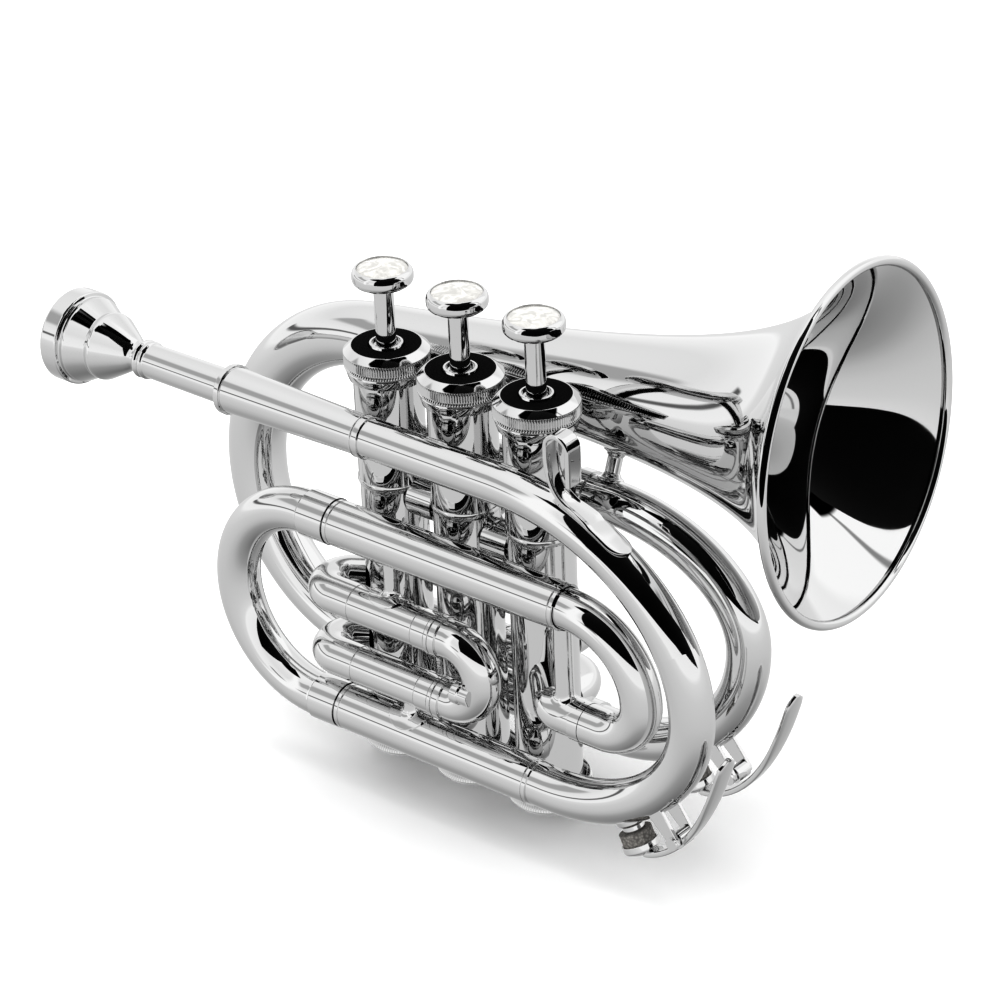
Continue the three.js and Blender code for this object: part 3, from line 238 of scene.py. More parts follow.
@dataclass(frozen=True)
class MotherOfPearl(Finish):
    """Polished mother-of-pearl: milky white with soft grey clouds under a clear gloss."""

    light: str = "DAD9D6"
    shade: str = "BFBEBB"
    cloud_mm: float = 3.2
    cloud_detail: float = 6.0
    cloud_distortion: float = 1.6
    cloud_shares: Pair = (0.4, 0.62)
    roughness: float = 0.16
    ior: float = 1.53
    polish_weight: float = 0.6
    polish_roughness: float = 0.04

    def build(self) -> Material:
        """Makes the clouded layers and the polish over them.

        Returns:
            The material.
        """
        material, tree, shader, place = self.start()
        cloud = add_node(tree, "ShaderNodeTexNoise", {}, {
            "Vector": place, "Scale": 1 / (self.cloud_mm * MM), "Detail": self.cloud_detail,
            "Distortion": self.cloud_distortion})
        ramp = add_node(tree, "ShaderNodeValToRGB", {}, {"Fac": cloud.outputs[0]})
        ramp.color_ramp.elements[0].position = self.cloud_shares[0]
        ramp.color_ramp.elements[0].color = linear(self.shade)
        ramp.color_ramp.elements[1].position = self.cloud_shares[1]
        ramp.color_ramp.elements[1].color = linear(self.light)
        tree.links.new(ramp.outputs["Color"], shader.inputs["Base Color"])
        shader.inputs["Roughness"].default_value = self.roughness
        shader.inputs["IOR"].default_value = self.ior
        shader.inputs["Coat Weight"].default_value = self.polish_weight
        shader.inputs["Coat Roughness"].default_value = self.polish_roughness
        return material


@dataclass(frozen=True)
class NaturalCork(Finish):
    """Cut cork gone grey with use: close grains with open pores, quite matt."""

    light: str = "9B9995"
    dark: str = "6A6866"
    # Cork's cells are some hundredths of a millimetre; its pores are drawn at this spacing so that they show
    grain_mm: float = 0.7
    grain_shares: Pair = (0.1, 0.75)
    roughness: float = 0.85
    pore_depth_mm: float = 0.15
    pore_strength: float = 0.8

    def build(self) -> Material:
        """Makes the grains and pores.

        Returns:
            The material.
        """
        material, tree, shader, place = self.start()
        grain = add_node(tree, "ShaderNodeTexVoronoi", {}, {
            "Vector": place, "Scale": 1 / (self.grain_mm * MM)})
        ramp = add_node(tree, "ShaderNodeValToRGB", {}, {"Fac": grain.outputs["Distance"]})
        ramp.color_ramp.elements[0].position = self.grain_shares[0]
        ramp.color_ramp.elements[0].color = linear(self.light)
        ramp.color_ramp.elements[1].position = self.grain_shares[1]
        ramp.color_ramp.elements[1].color = linear(self.dark)
        tree.links.new(ramp.outputs["Color"], shader.inputs["Base Color"])
        shader.inputs["Roughness"].default_value = self.roughness
        bump = add_node(tree, "ShaderNodeBump", {"invert": True}, {
            "Height": grain.outputs["Distance"], "Distance": self.pore_depth_mm * MM,
            "Strength": self.pore_strength})
        tree.links.new(bump.outputs["Normal"], shader.inputs["Normal"])
        return material


@dataclass(frozen=True)
class SeamlessPaper(Finish):
    """Matt white background paper, with the faint tooth of its fibres."""

    colour: str = "FAFAFA"
    # Paper's fibres are far finer; their tooth is drawn this coarse so that it shows
    tooth_mm: float = 1.5
    tooth_detail: float = 3.0
    tooth_height_mm: float = 0.02
    tooth_strength: float = 0.3
    roughness: float = 0.9
    gloss: float = 0.1

    def build(self) -> Material:
        """Makes the paper.

        Returns:
            The material.
        """
        material, tree, shader, place = self.start()
        shader.inputs["Base Color"].default_value = linear(self.colour)
        shader.inputs["Roughness"].default_value = self.roughness
        shader.inputs["Specular IOR Level"].default_value = self.gloss
        tooth = add_node(tree, "ShaderNodeTexNoise", {}, {
            "Vector": place, "Scale": 1 / (self.tooth_mm * MM), "Detail": self.tooth_detail})
        bump = add_node(tree, "ShaderNodeBump", {}, {
            "Height": tooth.outputs[0], "Distance": self.tooth_height_mm * MM,
            "Strength": self.tooth_strength})
        tree.links.new(bump.outputs["Normal"], shader.inputs["Normal"])
        return material


@dataclass(frozen=True)
class PressedFelt(Finish):
    """Black wool felt pressed hard: matt, with a fine nap that catches a little light at its edges."""

    light: str = "1B1B1B"
    dark: str = "080808"
    # Wool fibres are some hundredths of a millimetre; the nap is drawn this coarse so that it shows
    nap_mm: float = 0.6
    nap_detail: float = 5.0
    nap_roughness: float = 0.7
    nap_shares: Pair = (0.35, 0.7)
    nap_height_mm: float = 0.08
    nap_strength: float = 0.6
    roughness: float = 0.95
    gloss: float = 0.15

    def build(self) -> Material:
        """Makes the nap.

        Returns:
            The material.
        """
        material, tree, shader, place = self.start()
        nap = add_node(tree, "ShaderNodeTexNoise", {}, {
            "Vector": place, "Scale": 1 / (self.nap_mm * MM), "Detail": self.nap_detail,
            "Roughness": self.nap_roughness})
        ramp = add_node(tree, "ShaderNodeValToRGB", {}, {"Fac": nap.outputs[0]})
        ramp.color_ramp.elements[0].position = self.nap_shares[0]
        ramp.color_ramp.elements[0].color = linear(self.dark)
        ramp.color_ramp.elements[1].position = self.nap_shares[1]
        ramp.color_ramp.elements[1].color = linear(self.light)
        tree.links.new(ramp.outputs["Color"], shader.inputs["Base Color"])
        shader.inputs["Roughness"].default_value = self.roughness
        shader.inputs["Specular IOR Level"].default_value = self.gloss
        bump = add_node(tree, "ShaderNodeBump", {}, {
            "Height": nap.outputs[0], "Distance": self.nap_height_mm * MM,
            "Strength": self.nap_strength})
        tree.links.new(bump.outputs["Normal"], shader.inputs["Normal"])
        return material


@dataclass
class Finishes:
    """The finishes of the trumpet, each made once."""

    silver: Material = field(default_factory=SilverPlate("buffed_silver_plate").build)
    nickel: Material = field(default_factory=HonedNickel("honed_nickel_alloy").build)
    pearl: Material = field(default_factory=MotherOfPearl("polished_mother_of_pearl").build)
    cork: Material = field(default_factory=NaturalCork("cut_natural_cork").build)
    felt: Material = field(default_factory=PressedFelt("pressed_black_felt").build)
    cloth: Material = field(
        default_factory=PressedFelt("black_tent_cloth", light="010101", dark="000000").build)
    paper: Material = field(default_factory=SeamlessPaper("seamless_paper").build)


# Outlines and paths
def soften(points: Profile, radius: float, closed: bool = False, steps: int = 3) -> Profile:
    """Rounds the corners of an outline, each by no more than its edges allow.

    Args:
        points: the outline's corners.
        radius: how far the rounding reaches along each edge.
        closed: whether the last corner joins the first.
        steps: points of each rounded corner, less one.

    Returns:
        The rounded outline.
    """
    corners = [Vector(p) for p in points]
    count = len(corners)
    rounded: Profile = []
    for i, corner in enumerate(corners):
        if not closed and i in (0, count - 1):
            rounded.append(tuple(corner))
            continue
        back = corners[i - 1] - corner
        ahead = corners[(i + 1) % count] - corner
        reach = min(radius, back.length / EDGE_PARTS, ahead.length / EDGE_PARTS)
        if reach <= 0 or back.angle(ahead) > FLAT_CORNER:
            rounded.append(tuple(corner))
            continue
        first = corner + back.normalized() * reach
        last = corner + ahead.normalized() * reach
        for k in range(steps + 1):
            t = k / steps
            rounded.append(tuple(first * (1 - t) ** 2 + corner * (2 * t * (1 - t)) + last * t ** 2))
    return rounded


@dataclass
class Path:
    """A path of straight runs and round bends, with a normal carried along it."""

    points: list[Vector]
    tangents: list[Vector]
    first_normal: Vector | None = None

    def __post_init__(self) -> None:
        """Works out the lengths and the carried normals."""
        self.lengths = [0.0]
        for before, after in zip(self.points, self.points[1:]):
            self.lengths.append(self.lengths[-1] + (after - before).length)
        reference = AXIS_X if abs(self.tangents[0].z) > UPRIGHT else AXIS_Z
        normal = self.first_normal or reference
        normal = (normal - self.tangents[0] * normal.dot(self.tangents[0])).normalized()
        self.normals = [normal]
        for before, after in zip(self.tangents, self.tangents[1:]):
            normal = before.rotation_difference(after) @ normal
            self.normals.append(normal)

    @property
    def length(self) -> float:
        """The path's whole length."""
        return self.lengths[-1]

    def frame_at(self, length: float) -> tuple[Vector, Vector, Vector]:
        """The point, normal and binormal at a length along the path.

        Args:
            length: distance from the start.

        Returns:
            Point, normal and binormal.
        """
        last = len(self.lengths) - 1
        i = next((k for k in range(1, last) if self.lengths[k] >= length - SAME_LENGTH), last)
        run = self.lengths[i] - self.lengths[i - 1]
        t = (length - self.lengths[i - 1]) / run if run else 0.0
        tangent = self.tangents[i - 1].lerp(self.tangents[i], t).normalized()
        normal = self.normals[i - 1].lerp(self.normals[i], t)
        normal = (normal - tangent * normal.dot(tangent)).normalized()
        return self.points[i - 1].lerp(self.points[i], t), normal, tangent.cross(normal)


def bent_path(corners: list[Vector], bend: float = 0.0, step: float = 3.0) -> Path:
    """A path of straight runs with round bends at its corners.

    Args:
        corners: the corners.
        bend: radius of each bend.
        step: degrees between points round a bend.

    Returns:
        The path.
    """
    headings = [(b - a).normalized() for a, b in zip(corners, corners[1:])]
    points = [corners[0]]
    tangents = [headings[0]]
    for corner, inward, outward in zip(corners[1:-1], headings, headings[1:]):
        angle = inward.angle(outward)
        axis = inward.cross(outward).normalized()
        start = corner - inward * (bend * math.tan(angle / 2))
        centre = start + axis.cross(inward) * bend
        count = max(1, round(math.degrees(angle) / step))
        for k in range(count + 1):
            turn = Quaternion(axis, angle * k / count)
            point = centre + turn @ (start - centre)
            if (point - points[-1]).length > SAME_POINT:
                points.append(point)
                tangents.append(turn @ inward)
    if (corners[-1] - points[-1]).length > SAME_POINT:
        points.append(corners[-1])
        tangents.append(headings[-1])
    return Path(points, tangents)


@dataclass(frozen=True)
class OvalBow:
    """A bow along X: two quarter ellipses that meet at its tip, with a straight run above and below.

    Places on it are angles of its ellipses: 90 degrees at the upper run, 0 at the tip, -90 at the lower run.
    """

    y: float
    tip_x: float
    tip_z: float
    upper_z: float
    lower_z: float
    top_reach: float
    low_reach: float
    start_x: float
    end_x: float
    steps: int = 32

    def quarter(self, angle: float) -> Pair:
        """Reach and rise of the quarter that an angle lies on."""
        low = (self.low_reach, self.tip_z - self.lower_z)
        return (self.top_reach, self.upper_z - self.tip_z) if angle > 0 else low

    def outward(self, angle: float) -> Vector:
        """The direction straight out of the bow at an angle."""
        reach, rise = self.quarter(angle)
        return Vector((math.cos(angle) / reach, 0, math.sin(angle) / rise)).normalized()

    def at(self, angle: float, outside: float = 0.0, sideways: float = 0.0) -> Vector:
        """A point by angle, distance outside the middle line and distance across the bow.

        Args:
            angle: place on the bow.
            outside: distance outside the middle line.
            sideways: distance across the bow.

        Returns:
            The point.
        """
        reach, rise = self.quarter(angle)
        middle = Vector((self.tip_x - reach + reach * math.cos(angle), self.y + sideways,
                         self.tip_z + rise * math.sin(angle)))
        return middle + self.outward(angle) * outside

    def path(self) -> Path:
        """The path from the upper run's start, round the tip, to the lower run's end.

        Returns:
            The path.
        """
        points = [Vector((self.start_x, self.y, self.upper_z))]
        tangents = [AXIS_X * math.copysign(1, self.top_reach)]
        for k in range(2 * self.steps + 1):
            angle = math.pi / 2 * (1 - k / self.steps)
            reach, rise = self.quarter(angle)
            points.append(self.at(angle))
            tangents.append(Vector((reach * math.sin(angle), 0, -rise * math.cos(angle))).normalized())
        points.append(Vector((self.end_x, self.y, self.lower_z)))
        tangents.append(tangents[0] * -1)
        return Path(points, tangents)


def stepped(length: float, radius: float, bands: Bands = ()) -> Profile:
    """A tube's outline: a plain radius that steps to another along each band.

    Args:
        length: the tube's length.
        radius: its plain radius.
        bands: start, end and radius of each band, in order.

    Returns:
        The outline as length and radius.
    """
    outline: Profile = [(0.0, radius)]
    for start, end, wide in bands:
        outline += [(start, outline[-1][1]), (start, wide), (end, wide), (end, radius)]
    if bands and bands[-1][1] >= length:
        outline.pop()
    else:
        outline.append((length, radius))
    if bands and bands[0][0] <= 0:
        outline = outline[2:]
    return outline


# Meshes
@dataclass
class Draft:
    """Points and faces of one mesh, in millimetres."""

    points: list[Vector] = field(default_factory=list)
    faces: list[tuple[int, ...]] = field(default_factory=list)
    bevel_segments: int = 3
    flat_weight: int = 80

    def skin(self, rings: list[Ring], closed: bool = False, capped: bool = True) -> "Draft":
        """Joins rings into a skin whose faces point out when rings turn left-handed along their order.

        Args:
            rings: rings of equally many points.
            closed: whether the last ring joins the first.
            capped: whether flat caps close the two ends.

        Returns:
            This draft.
        """
        numbered = []
        for ring in rings:
            numbered.append(range(len(self.points), len(self.points) + len(ring)))
            self.points.extend(ring)
        pairs = list(zip(numbered, numbered[1:]))
        if closed:
            pairs.append((numbered[-1], numbered[0]))
        for low, high in pairs:
            count = len(low)
            for j in range(count):
                k = (j + 1) % count
                self.faces.append((low[j], low[k], high[k], high[j]))
        if capped and not closed:
            self.faces.append(tuple(reversed(numbered[0])))
            self.faces.append(tuple(numbered[-1]))
        return self

    def make(self, name: str, sharp: float = 38.0, bevel: float = 0.0) -> Object:
        """Makes the object, smooth but for its sharp edges, with its faces pointing out.

        Args:
            name: the object's name.
            sharp: edges above this angle in degrees stay sharp.
            bevel: width of a rounding on sharp edges, in millimetres.

        Returns:
            The object, linked to the scene.
        """
        mesh = bpy.data.meshes.new(name)
        mesh.from_pydata([tuple(p * MM) for p in self.points], [], self.faces)
        mesh.validate()
        closed = bmesh_outward(mesh)
        if not closed:
            LOG.warning("%s is not closed", name)
        mesh.shade_smooth()
        mesh.set_sharp_from_angle(angle=math.radians(sharp))
        piece = bpy.data.objects.new(name, mesh)
        bpy.context.scene.collection.objects.link(piece)
        if bevel > 0:
            rounding = piece.modifiers.new("edge", "BEVEL")
            rounding.width = bevel * MM
            rounding.segments = self.bevel_segments
            rounding.limit_method = "ANGLE"
            rounding.angle_limit = math.radians(sharp)
        shading = piece.modifiers.new("flats", "WEIGHTED_NORMAL")
        shading.keep_sharp = True
        shading.weight = self.flat_weight
        return piece


def bmesh_outward(mesh: Mesh) -> bool:
    """Merges doubled points and turns every face outward.

    Args:
        mesh: the mesh, changed in place.

    Returns:
        Whether the mesh is closed.
    """
    work = bmesh.new()
    work.from_mesh(mesh)
    bmesh.ops.remove_doubles(work, verts=work.verts, dist=WELD * MM)
    bmesh.ops.recalc_face_normals(work, faces=work.faces)
    closed = all(edge.is_manifold for edge in work.edges)
    work.to_mesh(mesh)
    work.free()
    return closed


def circle(centre: Vector, up: Vector, across: Vector, radius: float, sides: int) -> Ring:
    """A ring of points round a centre."""
    return [centre + up * (radius * math.cos(2 * math.pi * j / sides))
            + across * (radius * math.sin(2 * math.pi * j / sides)) for j in range(sides)]


def along(path: Path, outline: Profile, sides: int) -> list[Ring]:
    """Rings along a path that follow an outline of length and radius, with the path's own points between.

    Args:
        path: the path.
        outline: length and radius at each corner of the outline.
        sides: points in a ring.

    Returns:
        The rings.
    """
    marks: Profile = [outline[0]]
    for (l0, r0), (l1, r1) in zip(outline, outline[1:]):
        for length in path.lengths:
            if l0 + MARK_GAP < length < l1 - MARK_GAP:
                marks.append((length, r0 + (r1 - r0) * (length - l0) / (l1 - l0)))
        marks.append((l1, r1))
    return [circle(*path.frame_at(length), radius, sides) for length, radius in marks]


def swept(path: Path, outline: Profile, bore: Profile | float = 0.0, sides: int = 56,
          edge: float = 0.12) -> Draft:
    """A round tube or bar along a path.

    Args:
        path: the path.
        outline: outside radius by length.
        bore: inside radius, or its outline by length; none makes a solid bar.
        sides: points in a ring.
        edge: rounding of the outline's steps.

    Returns:
        The draft.
    """
    outside = along(path, soften(outline, edge), sides)
    if not bore:
        return Draft().skin(outside)
    inner_outline = bore if isinstance(bore, list) else [(outline[0][0], bore), (outline[-1][0], bore)]
    inside = along(path, inner_outline, sides)
    return Draft().skin(outside + inside[::-1], closed=True)


def turned(profile: Profile, origin: Vector, axis: Vector, sides: int = 64, edge: float = 0.15,
           ripple: Callable[[float, float, float], float] | None = None) -> Draft:
    """A turned piece: a closed profile of distance along the axis and radius, rounded at its corners.

    Args:
        profile: the profile; where it starts and ends on the axis it is capped there.
        origin: where distance is 0.
        axis: the axis.
        sides: points round it.
        edge: rounding of its corners.
        ripple: radius from distance, radius and angle, for knurling.

    Returns:
        The draft.
    """
    capped = profile[0][1] == 0 and profile[-1][1] == 0
    outline = soften(profile[1:-1] if capped else profile, edge, closed=not capped)
    up = AXIS_X if abs(axis.z) > UPRIGHT else AXIS_Z
    up = (up - axis * up.dot(axis)).normalized()
    across = axis.cross(up)
    rings = []
    for distance, radius in outline:
        centre = origin + axis * distance
        ring = []
        for j in range(sides):
            angle = 2 * math.pi * j / sides
            reach = ripple(distance, radius, angle) if ripple else radius
            ring.append(centre + up * (reach * math.cos(angle)) + across * (reach * math.sin(angle)))
        rings.append(ring)
    return Draft().skin(rings, closed=not capped)


def plate(outline: Profile, thickness: float, origin: Vector, along_u: Vector, along_v: Vector) -> Draft:
    """A flat plate of a closed outline, centred on its plane.

    Args:
        outline: corners as distances along the two directions.
        thickness: the plate's thickness.
        origin: the outline's origin.
        along_u: first direction.
        along_v: second direction.

    Returns:
        The draft.
    """
    facing = along_u.cross(along_v)
    rings = [[origin + along_u * u + along_v * v + facing * lift for u, v in outline]
             for lift in (-thickness / 2, thickness / 2)]
    return Draft().skin(rings)


def ribbon(path: Path, section: Callable[[float], Section], points: int = 40,
           side_power: float = 0.3, face_power: float = 0.45, dish_parts: float = 2.3) -> Draft:
    """A strip with rounded edges along a path.

    Args:
        path: the path through the strip's middle.
        section: width, thickness, dish and saddle radius by share of the length; a dish hollows the outer
            face and a saddle bends the strip round the path's inner side.
        points: points in a section.
        side_power: how square the section is at its edges; a smaller power is squarer.
        face_power: how flat its faces are.
        dish_parts: the dish ends at the width over this, from the middle.

    Returns:
        The draft.
    """
    rings = []
    for length in path.lengths:
        width, thickness, dish, saddle = section(length / path.length)
        centre, up, across = path.frame_at(length)
        ring = []
        for j in range(points):
            angle = 2 * math.pi * j / points
            side = math.copysign(abs(math.cos(angle)) ** side_power, math.cos(angle)) * width / 2
            lift = math.copysign(abs(math.sin(angle)) ** face_power, math.sin(angle)) * thickness / 2
            if lift > 0:
                lift -= dish * max(0.0, 1 - (dish_parts * side / width) ** 2)
            turn = side / saddle
            ring.append(centre + across * ((saddle + lift) * math.sin(turn))
                        + up * ((saddle + lift) * math.cos(turn) - saddle))
        rings.append(ring)
    return Draft().skin(rings)


def dress(piece: Object, material: Material, slot: Slot, body: Body,
          *nodes: str) -> Object:
    """Gives a piece its finish, sets it on its body and lets it stand for CAD nodes.

    Args:
        piece: the piece.
        material: its finish.
        slot: the record's slot; not used.
        body: the body that it rides on.
        nodes: the CAD nodes that it replaces.

    Returns:
        The piece.
    """
    piece.data.materials.clear()
    piece.data.materials.append(material)
    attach(piece, body.value)
    if nodes:
        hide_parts(*nodes)
    LOG.info("made %s on %s", piece.name, body.value)
    return piece


# The sub-assemblies
@dataclass
class Layout:
    """Sizes that several sub-assemblies share."""

    valve_pitch: float = 25.0
    cap_top_z: float = 60.0
    near_y: float = -18.0
    far_y: float = 17.7
    leadpipe_z: float = 42.55
    upper_slide_z: float = 13.65
    lower_slide_z: float = -42.6
    leadpipe_radius: float = 5.4
    bow_radius: float = 5.95
    slide_tube_radius: float = 6.25
    entry_z: float = -18.2
    entry_radius: float = 5.15
    first_upper_z: float = -9.0
    first_lower_z: float = -27.8
    third_upper_z: float = -15.6
    third_y: float = 18.4
    # Of the valve slides' sleeves, and of the crook that carries the finger ring
    sleeve_radius: float = 5.3
    tube_wall: float = 0.6
    slide_wall: float = 0.55
    clearance: float = 0.15
    casing_radius: float = 9.2
    # How far a tube reaches into the casing's wall
    casing_bite: float = 0.8
    front_tip_x: float = 86.35
    front_tip_z: float = -5.7
    front_top_reach: float = 60.0
    front_low_reach: float = 45.4
    front_start_x: float = -16.4
    front_end_x: float = 35.7

    @property
    def front_bow(self) -> OvalBow:
        """The leadpipe's large front bow."""
        return OvalBow(y=self.near_y, tip_x=self.front_tip_x, tip_z=self.front_tip_z,
                       upper_z=self.leadpipe_z, lower_z=self.lower_slide_z,
                       top_reach=self.front_top_reach, low_reach=self.front_low_reach,
                       start_x=self.front_start_x, end_x=self.front_end_x)

    def valve(self, index: int, y: float = 0.0, z: float = 0.0) -> Vector:
        """A point level with a valve's axis; the middle valve is number 1."""
        return Vector(((index - 1) * self.valve_pitch, y, z))


@dataclass
class Maker:
    """What every sub-assembly is made with."""

    layout: Layout
    finishes: Finishes

    def silver(self, draft: Draft, name: str, body: Body, *nodes: str,
               bevel: float = 0.0) -> Object:
        """Makes a silver-plated piece from its draft."""
        return dress(draft.make(name, bevel=bevel), self.finishes.silver, Slot.SILVER, body, *nodes)


@dataclass
class Mouthpiece(Maker):
    """The mouthpiece, and the receiver that it sits in."""

    face_x: float = -123.8
    rim_radius: float = 13.0
    rim_width: float = 6.3
    rim_undercut: float = 11.5
    rim_round: float = 1.0
    bite_radius: float = 9.9
    cup_radius: float = 8.3
    cup_depth: float = 12.0
    throat_radius: float = 1.85
    throat_length: float = 12.0
    backbore_radius: float = 4.2
    shank_radius: float = 4.85
    tip_radius: float = 4.65
    length: float = 86.0
    bowl_length: float = 26.8
    receiver_x: float = -65.0
    receiver_end_x: float = -18.8
    receiver_radius: float = 6.35
    receiver_end_radius: float = 5.35
    receiver_ring_radius: float = 6.9
    receiver_ring_width: float = 1.6
    ferrule_radius: float = 5.8
    ferrule_width: float = 2.7
    bite_depth: float = 0.9
    rim_step: float = 0.25
    bowl_shares: Steps = (
        (0.3, 0.91), (0.49, 0.7), (0.5, 0.695), (0.555, 0.725), (0.6, 0.7), (0.72, 0.56), (0.865, 0.385),
        (0.915, 0.29), (0.945, 0.265), (1.0, 0.262))
    cup_shares: Steps = (
        (1.0, 0.25), (0.93, 0.36), (0.8, 0.55), (0.6, 0.74), (0.35, 0.89), (0.15, 0.97))
    # Distance past the bowl and height over the shank, along the collar ring
    collar_steps: Steps = (
        (0.5, 0.25), (1.3, 0.55), (2.0, -0.3), (2.7, 0.4), (3.4, 0.4), (3.9, -0.15))
    groove_width: float = 0.45
    groove_depth: float = 0.25
    bore_taper: float = 16.0

    def mouthpiece(self) -> Draft:
        """Makes the turned mouthpiece.

        Returns:
            The draft, along +X from its face.
        """
        neck = self.bowl_length
        throat_end = self.cup_depth + self.throat_length
        profile = [
            (self.bite_depth, self.cup_radius), (0.0, self.bite_radius),
            (0.0, self.rim_radius - self.rim_round), (self.rim_round, self.rim_radius),
            (self.rim_width, self.rim_radius), (self.rim_width + self.rim_step, self.rim_undercut),
            *[(neck * reach, self.rim_radius * width) for reach, width in self.bowl_shares],
            *[(neck + past, self.shank_radius + over) for past, over in self.collar_steps],
            (self.receiver_x - self.face_x, self.shank_radius), (self.length, self.tip_radius),
            (self.length, self.backbore_radius), (throat_end, self.throat_radius),
            (self.cup_depth, self.throat_radius),
            *[(self.cup_depth * depth, self.cup_radius * width) for depth, width in self.cup_shares],
        ]
        origin = Vector((self.face_x, self.layout.near_y, self.layout.leadpipe_z))
        return turned(profile, origin, AXIS_X, sides=96, edge=0.45)

    def receiver(self) -> Draft:
        """Makes the receiver with its end ring and the leadpipe's ferrule.

        Returns:
            The draft, along +X.
        """
        bore = self.shank_radius + self.layout.clearance
        ring_end = self.receiver_ring_width
        taper_end = self.receiver_end_x - self.receiver_x
        ferrule_end = taper_end + self.ferrule_width
        lead_bore = self.layout.leadpipe_radius - self.layout.tube_wall
        groove = self.groove_width
        floor = self.ferrule_radius - self.groove_depth
        profile = [
            (0.0, bore), (0.0, self.receiver_ring_radius), (ring_end, self.receiver_ring_radius),
            (ring_end, self.receiver_radius), (taper_end, self.receiver_end_radius),
            (taper_end, self.ferrule_radius), (taper_end + groove, self.ferrule_radius),
            (taper_end + groove, floor), (taper_end + 2 * groove, floor),
            (taper_end + 2 * groove, self.ferrule_radius), (ferrule_end, self.ferrule_radius),
            (ferrule_end, lead_bore), (taper_end, lead_bore), (taper_end - self.bore_taper, bore),
        ]
        origin = Vector((self.receiver_x, self.layout.near_y, self.layout.leadpipe_z))
        return turned(profile, origin, AXIS_X, sides=64, edge=0.2)

    def build(self) -> None:
        """Makes both pieces."""
        self.silver(self.mouthpiece(), "turned_mouthpiece", Body.MOUTHPIECE, "mouthpiece")
        self.silver(self.receiver(), "receiver_and_ferrule", Body.HORN, "mouthpiece_receiver")


